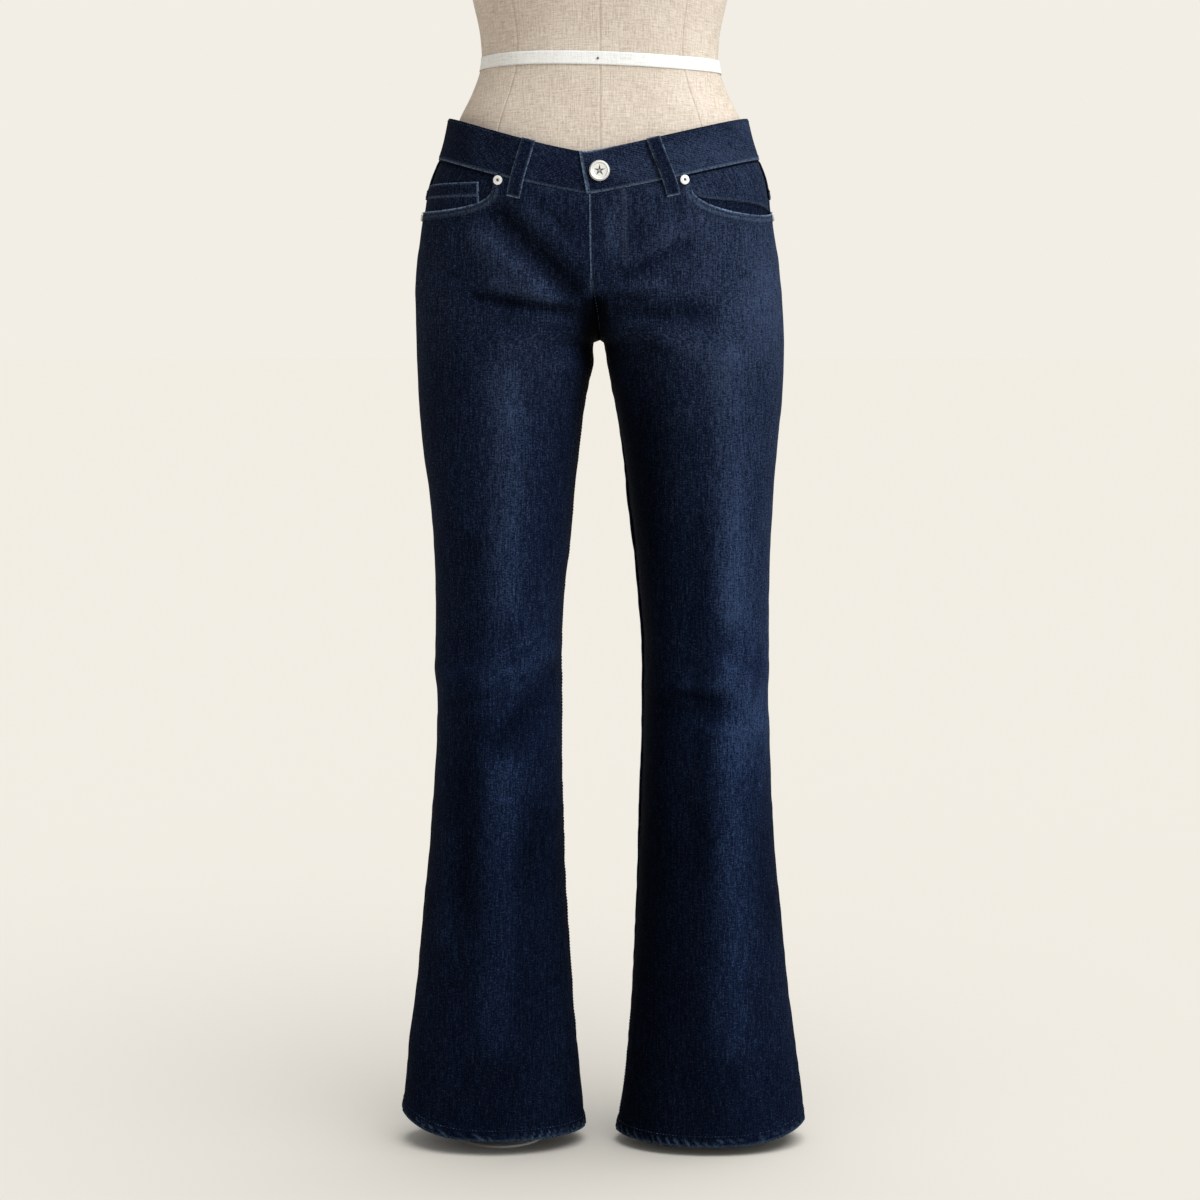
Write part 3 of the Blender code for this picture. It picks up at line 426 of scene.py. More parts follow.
# %% Reading the tables
def read_table(columns, rows, name, height):
    """One named column of a table at any height, on a smooth curve through its rows."""
    place = columns.index(name)
    ordered = sorted(rows)
    heights = np.array([row[0] for row in ordered])
    values = np.array([row[place] for row in ordered])
    slopes = np.gradient(values, heights)
    height = np.clip(height, heights[0], heights[-1])
    low = np.clip(np.searchsorted(heights, height) - 1, 0, len(heights) - 2)
    span = heights[low + 1] - heights[low]
    t = (height - heights[low]) / span
    here = (2 * t**3 - 3 * t**2 + 1) * values[low] + (3 * t**2 - 2 * t**3) * values[low + 1]
    lean = (t**3 - 2 * t**2 + t) * slopes[low] + (t**3 - t**2) * slopes[low + 1]
    return here + span * lean


def girth(name, height):
    return read_table(GIRTH_COLUMNS, GIRTH_ROWS, name, height)


def row_of(side, columns, rows):
    """The row of a table for one side, by the names of its columns."""
    return next(dict(zip(columns, row)) for row in rows if row[0] == side)


def smooth_step(value):
    value = np.clip(value, 0.0, 1.0)
    return value * value * (3 - 2 * value)


def bell(value, width, middle=0.0):
    """1 at the middle, falling softly to nothing at about twice this width."""
    return np.exp(-(((value - middle) / width) ** 2))


def crowd_ends(share, crowding):
    """Even shares from 0 to 1, moved closer together at both ends."""
    return share - crowding * np.sin(2 * math.pi * share) / (2 * math.pi)


MOTTLE_CELLS = 64  # after this many patches the random values repeat


def mottle(u, v, size, seed):
    """Smooth random values from -1 to 1, in patches of this size, the same on every run."""
    lattice = np.random.RandomState(seed).uniform(-1, 1, (MOTTLE_CELLS, MOTTLE_CELLS))
    a, b = np.broadcast_arrays(u / size, v / size)
    column, row = np.floor(a).astype(int), np.floor(b).astype(int)
    s, t = smooth_step(a - column), smooth_step(b - row)

    def corner(i, j):
        return lattice[(column + i) % MOTTLE_CELLS, (row + j) % MOTTLE_CELLS]

    near = corner(0, 0) * (1 - s) + corner(1, 0) * s
    far = corner(0, 1) * (1 - s) + corner(1, 1) * s
    return near * (1 - t) + far * t


print("girth at the hips:", round(float(girth("outer_right", 0.82) + girth("outer_left", 0.82)), 4), "m wide")

# %% [markdown]
# ## One surface for all the cloth
# A pair of jeans is one tube at the hips that splits into two at the crotch. Each half is followed round
# by a share: 0 at the centre seam or inseam, 1 at the side seam. The same function places panels, yokes,
# waistband, pockets and loops, so pieces that touch on the real garment touch here.

# %% The surface
CROTCH_HEIGHT = 0.820
FORK_HEIGHT = {FRONT: 0.085, BACK: 0.120}
FORK_EASE = 1.6


def oval(side, face, height):
    """Middle, half width, depth and roundness of the oval round one leg, and the cosine at which it ends."""
    word = "right" if side == RIGHT else "left"
    outer = girth("outer_" + word, height)
    inner = read_table(INSEAM_COLUMNS, INSEAM_ROWS, "inner_" + word, height)
    depth = girth("front" if face == FRONT else "back", height)
    roundness = girth("roundness", height)
    grown = np.clip((height - CROTCH_HEIGHT) / FORK_HEIGHT[face], 0.0, 1.0)
    lean = (1 - grown) ** FORK_EASE
    above = height >= CROTCH_HEIGHT
    half = np.where(above, outer / (1 + lean), (outer - inner) / 2)
    middle = np.where(above, lean * half, (outer + inner) / 2)
    end = np.where(above, -lean, -1.0)
    return middle, half, depth, roundness, end


def turn_of(cosine, roundness):
    return np.arccos(np.sign(cosine) * np.abs(cosine) ** (roundness / 2))


def row_rise(rows, face, x, z):
    """How far the folds of one table lift the cloth."""
    rise = np.zeros_like(x)
    for row in rows:
        fold = dict(zip(FOLD_COLUMNS, row))
        if fold["face"] != face:
            continue
        along_x, along_z = fold["x2"] - fold["x1"], fold["z2"] - fold["z1"]
        length = math.hypot(along_x, along_z)
        along = ((x - fold["x1"]) * along_x + (z - fold["z1"]) * along_z) / length
        aside = ((x - fold["x1"]) * along_z - (z - fold["z1"]) * along_x) / length
        past_end = np.maximum(np.maximum(-along, along - length), 0.0)
        rise = rise + fold["rise"] * bell(np.hypot(aside, past_end), fold["half_width"])
    return rise


def ring_point(side, face, height, across):
    middle, half, depth, roundness, end = oval(side, face, height)
    turn = (1 - across) * turn_of(end, roundness)
    cosine, sine = np.cos(turn), np.sin(turn)
    x = middle + half * np.sign(cosine) * np.abs(cosine) ** (2 / roundness)
    y = face * depth * np.sign(sine) * np.abs(sine) ** (2 / roundness)
    x = side * x
    if face == FRONT:
        shift = read_table(CENTRE_FRONT_COLUMNS, CENTRE_FRONT_ROWS, "shift", height)
        x = x + shift * (1 - np.clip(np.abs(x) / (middle + half), 0, 1) ** 2)
    return np.stack([x, y, height + 0 * x], axis=-1)


def ring_normal(side, face, height, across):
    """The direction straight out of the plain ring, from four points close by."""
    step = 1e-4
    along = ring_point(side, face, height, across + step) - ring_point(side, face, height, across - step)
    up = ring_point(side, face, height + step, across) - ring_point(side, face, height - step, across)
    normal = np.cross(along, up) * (side * -face)
    return normal / np.linalg.norm(normal, axis=-1, keepdims=True)


def cloth_point(side, face, height, across, out=0.0):
    """Points of the creased cloth and the directions out of it there."""
    height, across = np.broadcast_arrays(np.asarray(height, float), np.asarray(across, float))
    point = ring_point(side, face, height, across)
    normal = ring_normal(side, face, height, across)
    x, z = point[..., 0], point[..., 2]
    rise = row_rise(FOLD_ROWS, face, x, z) * smooth_step(np.abs(x) / FOLD_FREE_CENTRE)
    creases = row_rise(CREASE_ROWS, face, x, z)
    rise = rise + CREASE_GAIN * creases * smooth_step(np.abs(x) / CREASE_FREE_CENTRE)
    rise = rise * np.abs(normal[..., 1]) + out
    return point + normal * rise[..., None], normal


def across_of(side, face, height, level):
    """The share across a panel that lies this far from its centre line, measured level."""
    middle, half, _, roundness, end = oval(side, face, np.asarray(height, float))
    cosine = np.clip((level - middle) / half, -1, 1)
    return 1 - turn_of(cosine, roundness) / turn_of(end, roundness)


print("front of the hips at", [round(float(v), 4) for v in cloth_point(LEFT, FRONT, 0.88, 0.5)[0]])

# %% Seam lines
WAIST_FRONT, WAIST_SIDE, WAIST_BACK = 0.957, 0.994, 1.012
BAND_HEIGHT = 0.0395
YOKE_SIDE, YOKE_BACK = 0.036, 0.068
HEM_COLUMNS = ("side", "bottom", "outer_rise", "inner_rise")
HEM_ROWS = (
    (RIGHT, 0.0160, 0.0175, 0.0005),
    (LEFT, 0.0100, 0.0140, 0.0030),
)
POCKET_START = 0.091
POCKET_CORNER_HEIGHT = 0.978
POCKET_SQUARENESS = 4.2
POCKET_MOUTH_COLUMNS = ("side", "side_end", "sag")
POCKET_MOUTH_ROWS = (
    (RIGHT, 0.9440, 0.0010),
    (LEFT, 0.9445, 0.0055),
)


def waist_height(face, across):
    level = np.sin(across * math.pi / 2)
    middle = WAIST_FRONT if face == FRONT else WAIST_BACK
    return middle + (WAIST_SIDE - middle) * level


def yoke_height(across):
    return waist_height(BACK, across) - (YOKE_BACK + (YOKE_SIDE - YOKE_BACK) * across)


def hem_height(side, across):
    hem = row_of(side, HEM_COLUMNS, HEM_ROWS)
    level = -np.cos(across * math.pi)
    outer = hem["outer_rise"] * np.clip(level, 0, 1) ** 3
    inner = hem["inner_rise"] * np.clip(-level, 0, 1) ** 3
    return hem["bottom"] + outer + inner


def pocket_start(side):
    return float(across_of(side, FRONT, POCKET_CORNER_HEIGHT, POCKET_START))


def pocket_mouth_height(side, across, start):
    share = np.clip((1 - across) / (1 - start), 0, 1)
    drop = (1 - share**POCKET_SQUARENESS) ** (1 / POCKET_SQUARENESS)
    corner = waist_height(FRONT, start)
    pocket = row_of(side, POCKET_MOUTH_COLUMNS, POCKET_MOUTH_ROWS)
    return corner + (pocket["side_end"] - corner) * drop - pocket["sag"] * np.sin(math.pi * share)


GRAIN_AT_FLOOR, GRAIN_LEAN = 0.110, -0.0175  # the middle of the leg, where the grain runs straight
GRAIN_TOP, GRAIN_ROWS, GRAIN_COLUMNS = 1.03, 207, 121  # the grid on which the grain is measured


def grain_place(side, face, height, across):
    """Flat places of a panel's points: the distance round from the grain line, and the height."""
    heights, shares = np.linspace(0, GRAIN_TOP, GRAIN_ROWS), np.linspace(0, 1, GRAIN_COLUMNS)
    ring = ring_point(side, face, heights[:, None], shares[None, :])
    arcs = np.zeros(ring.shape[:2])
    arcs[:, 1:] = np.cumsum(np.linalg.norm(np.diff(ring, axis=1), axis=-1), axis=1)
    for i, at in enumerate(heights):
        arcs[i] -= np.interp(GRAIN_AT_FLOOR + GRAIN_LEAN * at, side * ring[i, :, 0], arcs[i])
    row, column = height / heights[1], across / shares[1]
    i = np.clip(row.astype(int), 0, len(heights) - 2)
    j = np.clip(column.astype(int), 0, len(shares) - 2)
    s, t = column - j, row - i
    low = arcs[i, j] * (1 - s) + arcs[i, j + 1] * s
    high = arcs[i + 1, j] * (1 - s) + arcs[i + 1, j + 1] * s
    return low * (1 - t) + high * t, height


def edge_distance(point, edge):
    """How far each point of a sheet lies from a drawn line."""
    return np.min([np.linalg.norm(point - spot, axis=-1) for spot in edge], axis=0)


print("waist seam:", WAIST_FRONT, "front,", WAIST_SIDE, "side,", WAIST_BACK, "back")

# %% [markdown]
# ## A sheet of cloth
# Each piece is a grid of points with two measures kept for every point: how far it lies from the piece's
# edges, and its place in the flat cloth. The first places seams, puckers, wear and stitches; the second
# becomes the UV map, in metres, so that the twill follows the grain as it was cut. NumPy arrays keep this
# quick at a hundred thousand points.


# %% Grids
class Sheet:
    """A grid of points with rows down the cloth and columns across it."""

    def __init__(self, point, normal):
        self.point = point
        self.normal = normal
        step = np.linalg.norm(np.diff(point, axis=1), axis=-1)
        self.across = np.concatenate([np.zeros((len(point), 1)), np.cumsum(step, axis=1)], axis=1)
        step = np.linalg.norm(np.diff(point, axis=0), axis=-1)
        self.down = np.concatenate([np.zeros((1, point.shape[1])), np.cumsum(step, axis=0)], axis=0)
        self.width, self.length = self.across[:, -1:], self.down[-1:, :]
        self.from_start, self.from_end = self.across, self.width - self.across
        self.from_top, self.from_bottom = self.down, self.length - self.down
        self.wear, self.fade, self.under = (np.zeros(self.across.shape) for _ in range(3))
        self.flat = None

    def push(self, out):
        """Moves the points out of the cloth by these distances."""
        self.point = self.point + self.normal * np.asarray(out)[..., None]

    def rub(self, amount):
        """Wears the cloth pale by this much, where it isn't paler already."""
        self.wear = np.maximum(self.wear, amount)

    def renew_normals(self):
        """Takes the normals from the pushed points, so that stitches and thickness follow the creases."""
        along = np.gradient(self.point, axis=1)
        down = np.gradient(self.point, axis=0)
        normal = np.cross(along, down)
        normal *= np.sign((normal * self.normal).sum(axis=-1, keepdims=True))
        self.normal = normal / np.maximum(np.linalg.norm(normal, axis=-1, keepdims=True), 1e-12)

    def line(self, edge, distance, first, last, out):
        """Points along the cloth at one distance from an edge, between two shares of that edge."""
        measure, point = getattr(self, "from_" + edge), self.point + self.normal * out
        if edge in ("top", "bottom"):
            measure, point = measure.T, point.swapaxes(0, 1)
        shares = np.linspace(0, 1, len(measure))
        found = []
        for i in np.flatnonzero((shares >= first) & (shares <= last)):
            order = np.argsort(measure[i])
            found.append([np.interp(distance, measure[i][order], point[i][order, k]) for k in range(3)])
        return np.array(found)

    def quads(self):
        """The faces of the grid, as rows of four point numbers."""
        index = np.arange(self.across.size).reshape(self.across.shape)
        corners = [index[:-1, :-1], index[1:, :-1], index[1:, 1:], index[:-1, 1:]]
        return np.stack(corners, axis=-1).reshape(-1, 4)


def join_ends(mesh):
    """Merges the first and last columns of a sheet that goes all the way round."""
    bm = bmesh.new()
    bm.from_mesh(mesh)
    bmesh.ops.remove_doubles(bm, verts=bm.verts, dist=1e-6)
    bm.to_mesh(mesh)
    bm.free()


def wall_of(name, sheet, thickness, material, grain=0.0, closed=False):
    """Turns a sheet into an object with the cloth's thickness on its inner side."""
    quads = sheet.quads()
    along, down = sheet.point[0, 1] - sheet.point[0, 0], sheet.point[1, 0] - sheet.point[0, 0]
    if np.dot(np.cross(down, along), sheet.normal[0, 0]) < 0:
        quads = quads[:, ::-1]
    mesh = bpy.data.meshes.new(name)
    mesh.from_pydata(sheet.point.reshape(-1, 3), [], quads.tolist())
    u, v = sheet.flat if sheet.flat else (sheet.across - sheet.width / 2, sheet.from_bottom)
    if grain:
        u, v = u * math.cos(grain) + v * math.sin(grain), v * math.cos(grain) - u * math.sin(grain)
    flat = np.stack([u, v], axis=-1).reshape(-1, 2)[quads.reshape(-1)]
    uv = mesh.uv_layers.new(name="cloth")
    uv.data.foreach_set("uv", flat.reshape(-1).astype(np.float32))
    for word in ("wear", "fade", "under"):
        values = mesh.attributes.new(word, "FLOAT", "POINT")
        values.data.foreach_set("value", getattr(sheet, word).reshape(-1).astype(np.float32))
    mesh.materials.append(material)
    mesh.shade_smooth()
    if closed:
        join_ends(mesh)
    piece = new_object(name, mesh)
    if thickness:
        wall = piece.modifiers.new("wall", "SOLIDIFY")
        wall.thickness = thickness
        wall.offset = -1.0
        wall.use_rim = True
    return piece


def flat_area(sheet):
    """The area of the cloth, as it was cut."""
    a = sheet.point[1:, 1:] - sheet.point[:-1, :-1]
    b = sheet.point[1:, :-1] - sheet.point[:-1, 1:]
    return float(np.linalg.norm(np.cross(a, b), axis=-1).sum() / 2)


NARROW_SHARE = 0.31  # a sheet that fills less of its box is measured as a strip
BOX_SHARE = 0.999  # the most of its box that a sheet's cut may fill


def add_cloth(name, sheet, thickness, cloth, node=None, grain=0.0, closed=False):
    """Draws a piece in a cloth's material and states the cut of its sheet."""
    material, slot = cloth
    piece = wall_of(name, sheet, thickness, material, grain, closed)
    area, width, length = flat_area(sheet), float(sheet.width.max()), float(sheet.length.max())
    if area < NARROW_SHARE * width * length:
        length = area / width
    length = max(length, area / width / BOX_SHARE)
    declare(piece, node)
    print(name, "cut", (round(width, 3), round(length, 3), round(area, 4)))


print("sheet tools ready")

# %% [markdown]
# ## Denim
# Denim is a twill: blue warp threads run down the leg and pass over white weft threads in steps, which draws
# fine slanted lines. Uneven warp threads leave paler streaks along the grain. A node group works this out
# from the flat place of each point, so one group serves body cloth and the waistband cut on the cross grain.
# The colour ramp, and not the light, carries the streaks. The real light models the folds, helped by painted
# shade in the creases, painted highlights on the ridges and painted light across each leg.


# %% Threads of the twill
TWILL_SLOPE = math.radians(62)
TWILL_UNREST = 3.5  # radians by which the grain noise moves the twill lines


def make_denim_group():
    tree, given, out = new_group(
        "denim_threads",
        [
            ("Flat Place", VECTOR, None),
            ("Wear", NUMBER, 0.0),
            ("Fade", NUMBER, 0.0),
            ("Twill Pitch", NUMBER, 0.0011),
            ("Twill Depth", NUMBER, 0.12),
            ("Streaks", NUMBER, 1.0),
            ("Deep", COLOUR, (0.0008, 0.0019, 0.0070, 1)),
            ("Body", COLOUR, (0.0044, 0.0088, 0.0232, 1)),
            ("Pale", COLOUR, (0.030, 0.052, 0.108, 1)),
            ("Worn", COLOUR, (0.18, 0.285, 0.44, 1)),
        ],
        [("Color", COLOUR), ("Height", NUMBER), ("Worn Mask", NUMBER)],
    )
    place = given["Flat Place"]
    fine = stretched_noise(tree, place, 950, 115, 3)
    slub = stretched_noise(tree, place, 430, 30, 3)
    weft = stretched_noise(tree, place, 170, 900, 2)
    patch = stretched_noise(tree, place, 11, 5, 3)
    grain = stretched_noise(tree, place, 680, 580, 2)
    rub = stretched_noise(tree, place, 420, 420, 3)

    # the slanted lines
    apart = add_node(tree, "ShaderNodeSeparateXYZ", {0: place}).outputs
    lean = maths(tree, "MULTIPLY", apart["Y"], -math.cos(TWILL_SLOPE) / math.sin(TWILL_SLOPE))
    turns = maths(tree, "DIVIDE", maths(tree, "ADD", apart["X"], lean), given["Twill Pitch"])
    angle = maths(tree, "MULTIPLY", turns, 2 * math.pi)
    phase = maths(tree, "ADD", angle, maths(tree, "MULTIPLY", grain, TWILL_UNREST))
    ridge = maths(tree, "MULTIPLY_ADD", maths(tree, "SINE", phase), 0.5, 0.5)

    # the tone: uneven threads, the lines, and the paler part of the fading and painted light
    streaks = weighted_sum(tree, 0.0, [(fine, 1.20), (slub, 0.72)])
    rest = weighted_sum(tree, 0.35, [(weft, 0.90), (patch, 0.50), (grain, 1.45)])
    tone = maths(tree, "MULTIPLY_ADD", streaks, given["Streaks"], rest)
    ridged = maths(tree, "MULTIPLY_ADD", ridge, given["Twill Depth"], tone)
    tone_with_painted_light = maths(tree, "MULTIPLY_ADD", maths(tree, "MAXIMUM", given["Fade"], 0.0), 0.30, ridged)
    dark = blend(tree, map_range(tree, tone_with_painted_light, 0.0, 0.55), given["Deep"], given["Body"])
    light = blend(tree, map_range(tree, tone_with_painted_light, 0.50, 1.15), dark, given["Pale"])

    # a negative value of the fading and painted light darkens, and rubbed places show the pale core of the
    # threads
    shade = maths(tree, "POWER", 2.3, maths(tree, "MINIMUM", given["Fade"], 0.0))
    shaded = result(tree, "ShaderNodeVectorMath", {0: light, "Scale": shade}, operation="SCALE")
    rubbed = maths(tree, "MULTIPLY", map_range(tree, rub, 0.33, 0.56), given["Wear"], clamp=True)
    worn = blend(tree, rubbed, shaded, given["Worn"])
    feed(out, {"Color": worn, "Height": tone_with_painted_light, "Worn Mask": rubbed})
    return tree


DENIM_THREADS = make_denim_group()
print("denim group has", len(DENIM_THREADS.nodes), "nodes")


# %% Denim materials
# The dye of the legs is bluer than that of the hips, which have been handled and sat on more.
GREYING_FROM, GREYING_TO = 0.45, 0.86
LEG_CAST, HIP_CAST = (0.98, 1.0, 1.07, 1), (1.27, 1.06, 0.96, 1)
DENIM_RELIEF = 0.00022


def denim(name, pitch, depth, streaks):
    gloss = {"Roughness": 0.82, "Specular IOR Level": 0.015, "Sheen Weight": 0.004, "Sheen Roughness": 0.45}
    material, tree, shader = new_material(name, gloss)
    values = {
        "Flat Place": result(tree, "ShaderNodeUVMap", uv_map="cloth"),
        "Wear": attribute(tree, "wear"),
        "Fade": attribute(tree, "fade"),
        "Twill Pitch": pitch,
        "Twill Depth": depth,
        "Streaks": streaks,
    }
    threads = add_node(tree, "ShaderNodeGroup", node_tree=DENIM_THREADS)
    woven_cloth = feed(threads, values).outputs
    height = result(tree, "ShaderNodeSeparateXYZ", {0: object_place(tree)}, "Z")
    unworn = maths(tree, "SUBTRACT", 1.0, woven_cloth["Worn Mask"])
    greyed = maths(tree, "MULTIPLY", map_range(tree, height, GREYING_FROM, GREYING_TO), unworn)
    cast = blend(tree, greyed, LEG_CAST, HIP_CAST)
    tinted = result(tree, "ShaderNodeVectorMath", {0: woven_cloth["Color"], 1: cast}, operation="MULTIPLY")
    colour_and_relief(shader, tinted, woven_cloth["Height"], DENIM_RELIEF)
    return material


INDIGO = (denim("indigo_denim_cloth", 0.0011, 0.14, 1.0), "indigo_denim")
INDIGO_CROSS = (denim("indigo_denim_cross_cloth", 0.0019, 0.20, 0.70), "indigo_denim_cross")
print("denim materials made")

# %% [markdown]
# ## Panels
# The front and back panels carry the look of the jeans. Each is one sheet from waist to hem: its rows crowd
# at the fork, where the cloth curves in under the crotch. Seams sink in, because the stitches pull them, and
# a soft ridge beside each one shows the folded allowance beneath. Along the hem the fold twists a little
# under the needle, which gives slanted puckers, and their tips wear pale.

# %% Rows and seams of a panel
FORK_ROWS, LEG_ROWS = 84, 256
PLAIN_COLUMNS, POCKET_COLUMNS = 42, 52
COLUMN_CROWDING = 0.55
FORK_ROW_POWER = 1.8
FORK_ROW_REACH = 1.6
DENIM_WALL = 0.0012
HEM_FOLD = 0.0125
HEM_STITCH = 0.0112
PAINTED_SHADE_AND_HIGHLIGHT_PER_RISE = 330.0
LEG_MIDDLE = 0.105  # how far the middle of a leg lies from the centre
MOUTH_STITCHES = (0.0022, 0.0074)
FLY_CENTRE, FLY_BOTTOM, FLY_WIDTH, FLY_LIFT = -0.0105, 0.878, 0.034, 0.0013
SEAM_STITCH = 0.0020
LAYER_GAP = 0.0003  # between pieces that lie on each other
YOKE_STITCHES = (0.0020, 0.0078)
TOP_ROLL = 0.0016  # the width over which a panel's top edge sinks into its seam
TOP_SINK = 0.0007
SEAM_WIDTH, RIDGE_WIDTH, GROOVE_WIDTH = 0.0013, 0.0040, 0.0008

PUCKER_COLUMNS = ("edge", "reach", "size", "height", "seed")
PUCKER_ROWS = {
    "front": (("start", 0.016, 0.0075, 0.00040, 31), ("end", 0.012, 0.011, 0.00030, 32)),
    "front_top": (("top", 0.014, 0.0085, 0.00035, 33),),
    "back": (
        ("start", 0.014, 0.0090, 0.00035, 34),
        ("end", 0.012, 0.011, 0.00030, 35),
        ("top", 0.012, 0.0085, 0.00030, 36),
    ),
    "yoke": (("bottom", 0.012, 0.0080, 0.00030, 37),),
    "band": tuple((edge, 0.009, 0.0068, 0.00032, 82 + i) for i, edge in enumerate(("top", "bottom", "end"))),
    "coin": (("top", 0.008, 0.007, 0.00025, 103),),
    "back_pocket": (("start", 0.010, 0.0075, 0.0003, 113), ("end", 0.010, 0.0075, 0.0003, 114)),
}


def panel_heights(top, bottom, across):
    """Row heights for every column: crowded at the crotch as on the solid."""
    down = np.linspace(0, 1, LEG_ROWS + 1)[1:, None]
    leg = CROTCH_HEIGHT + (bottom - CROTCH_HEIGHT) * down
    up = np.linspace(1, 0, FORK_ROWS + 1)[:, None]
    at_fork = up**FORK_ROW_POWER
    share = at_fork + (up - at_fork) * smooth_step(across * FORK_ROW_REACH)
    return np.concatenate([CROTCH_HEIGHT + (top - CROTCH_HEIGHT) * share, leg])


def seam_dip(distance, depth=0.0007, ridge=0.00045, ridge_at=0.0065):
    """A stitched seam seen in section: sunk at the line, with a soft ridge beside it."""
    return ridge * bell(distance, RIDGE_WIDTH, ridge_at) - depth * bell(distance, SEAM_WIDTH)


def stitch_grooves(distance, places, depth=0.00028):
    """The grooves that rows of stitches pull at these distances."""
    return sum(-depth * bell(distance, GROOVE_WIDTH, at) for at in places)


def puckers(sheet, piece):
    """Small ripples that run out from the seams of a piece and die away."""
    total = 0.0
    for row in PUCKER_ROWS[piece]:
        edge = dict(zip(PUCKER_COLUMNS, row))
        distance = getattr(sheet, "from_" + edge["edge"])
        along = sheet.down if edge["edge"] in ("start", "end") else sheet.across
        ripple = mottle(along, distance * 0.45, edge["size"], edge["seed"])
        total = total + edge["height"] * ripple * bell(distance, edge["reach"])
    return total


def soften(sheet, seed):
    """The slight unevenness of cloth that nothing stretches."""
    x, z = sheet.point[..., 0], sheet.point[..., 2]
    return 0.00075 * mottle(x, z * 0.55, 0.032, seed) + 0.00022 * mottle(x, z * 0.7, 0.011, seed + 1)


def hem_fold(sheet, seed):
    """The folded hem and the slanted puckers along it."""
    up = sheet.from_bottom
    layer = 0.0008 * smooth_step((HEM_FOLD + 0.0012 - up) / 0.0022)
    inside = smooth_step(up / 0.0015) * smooth_step((HEM_STITCH - up) / 0.003)
    slant = (sheet.across + 0.8 * up) / 0.0088 + 0.6 * mottle(sheet.across, 0 * up, 0.021, seed)
    swell = 0.55 + 0.45 * mottle(sheet.across, 0 * up, 0.016, seed + 3)
    rope = 0.00055 * np.sin(2 * math.pi * slant) * inside * swell
    crests = np.clip(np.sin(2 * math.pi * slant), 0, 1) ** 2
    tips = crests * inside * smooth_step((0.009 - up) / 0.004)
    sheet.rub(0.28 * tips * swell)
    sheet.rub(0.22 * bell(up, 0.0007))
    return layer + rope + stitch_grooves(up, (HEM_STITCH,))


# per leg: band of faded dye and painted highlight, slope of the painted light across it, reach of the dark
# inner side
FADE_AND_PAINTED_LIGHT_COLUMNS = ("side", "middle_thigh", "middle_hem", "edge", "edge_lean", "strength", "lean", "inner")
FADE_AND_PAINTED_LIGHT_ROWS = (
    (RIGHT, -0.075, -0.100, -0.112, -0.022, 0.50, 1.0, 0.056),
    (LEFT, 0.146, 0.150, 0.114, -0.002, 1.05, 9.5, 0.085),
)


def leg_fade_and_painted_light(sheet, side, face):
    """Faded dye and painted light together: a pale band down the front of each leg, partly faded dye and
    partly a painted highlight on the lamp's side of the pressed front crease, with one hard edge where the
    cloth was folded; painted light across each leg and the hips; painted shade at the fork; a darker inner
    side, partly dye and partly painted shade; darker from the knee down; painted shade in each crease and a
    painted highlight on each ridge."""
    leg = row_of(side, FADE_AND_PAINTED_LIGHT_COLUMNS, FADE_AND_PAINTED_LIGHT_ROWS)
    x, z = sheet.point[..., 0], sheet.point[..., 2]
    # where the point lies: down the leg, at the thigh or knee, below the knee, along the inner side
    down = np.clip((0.80 - z) / 0.70, 0, 1)
    on_leg = smooth_step((0.85 - z) / 0.14)
    thigh = smooth_step((z - 0.02) / 0.35) * smooth_step((0.95 - z) / 0.12)
    knee = bell(z, 0.085, 0.49)
    low = smooth_step((0.50 - z) / 0.23)
    inner = smooth_step((leg["inner"] - np.abs(x)) / 0.045) * smooth_step((0.86 - z) / 0.05)
    away = low * smooth_step((side * LEG_MIDDLE - 0.01 - x) / 0.05)
    # the pale band down the front, cut off hard at its edge and cloudy within: partly faded dye, partly a
    # painted highlight on the lamp's side of the front crease
    middle = leg["middle_thigh"] + (leg["middle_hem"] - leg["middle_thigh"]) * down
    edge = leg["edge"] + leg["edge_lean"] * down
    band = bell(np.clip(x - middle, -0.05, 1), 0.055) * smooth_step((x - edge) / 0.012)
    cloud = 0.8 + 0.6 * mottle(x, z * 0.5, 0.026, 71 if face == FRONT else 72)
    band *= leg["strength"] * cloud
    # inner side darker: partly dye, partly painted shade where the other leg blocks the light; darker below the
    # knee
    shade = band * (0.26 * thigh + 0.16 * knee + 0.12 * low) - 0.65 * inner - 1.00 * low
    # painted light: paler towards the wearer's left, where the side lamp is, on each leg and across the hips,
    # and below the knee painted paler on the side away from the lamp, which lifts its shade
    lean = np.clip(leg["lean"] * (x - side * LEG_MIDDLE), -0.5, 0.5) * on_leg
    lean += (0.15 + np.clip(5.5 * x, -0.10, 0.90)) * (1 - on_leg)
    shade = shade + 0.45 * away + lean - 0.10 * on_leg
    # painted light along the left inseam, which the lamp leaves dark
    if side == LEFT:  # along the inseam
        shade += 0.6 * bell(sheet.from_start, 0.014) * smooth_step((0.80 - z) / 0.05)
    # painted shade where the seams meet under the crotch
    if face == FRONT:  # a pale place beside the fly, and a dark one where the seams meet
        fork = bell(x, 0.011, -0.004) * smooth_step((0.866 - z) / 0.012)
        shade += 0.80 * bell(x, 0.009, 0.013) * bell(z, 0.024, 0.925) - 3.0 * fork
    # painted shade in each crease and a painted highlight on each ridge
    relief = row_rise(CREASE_ROWS, face, x, z) + 0.35 * row_rise(FOLD_ROWS, face, x, z)
    return shade + np.clip(PAINTED_SHADE_AND_HIGHLIGHT_PER_RISE * relief, -1.1, 0.7)


print("panel rows:", FORK_ROWS + LEG_ROWS + 1)


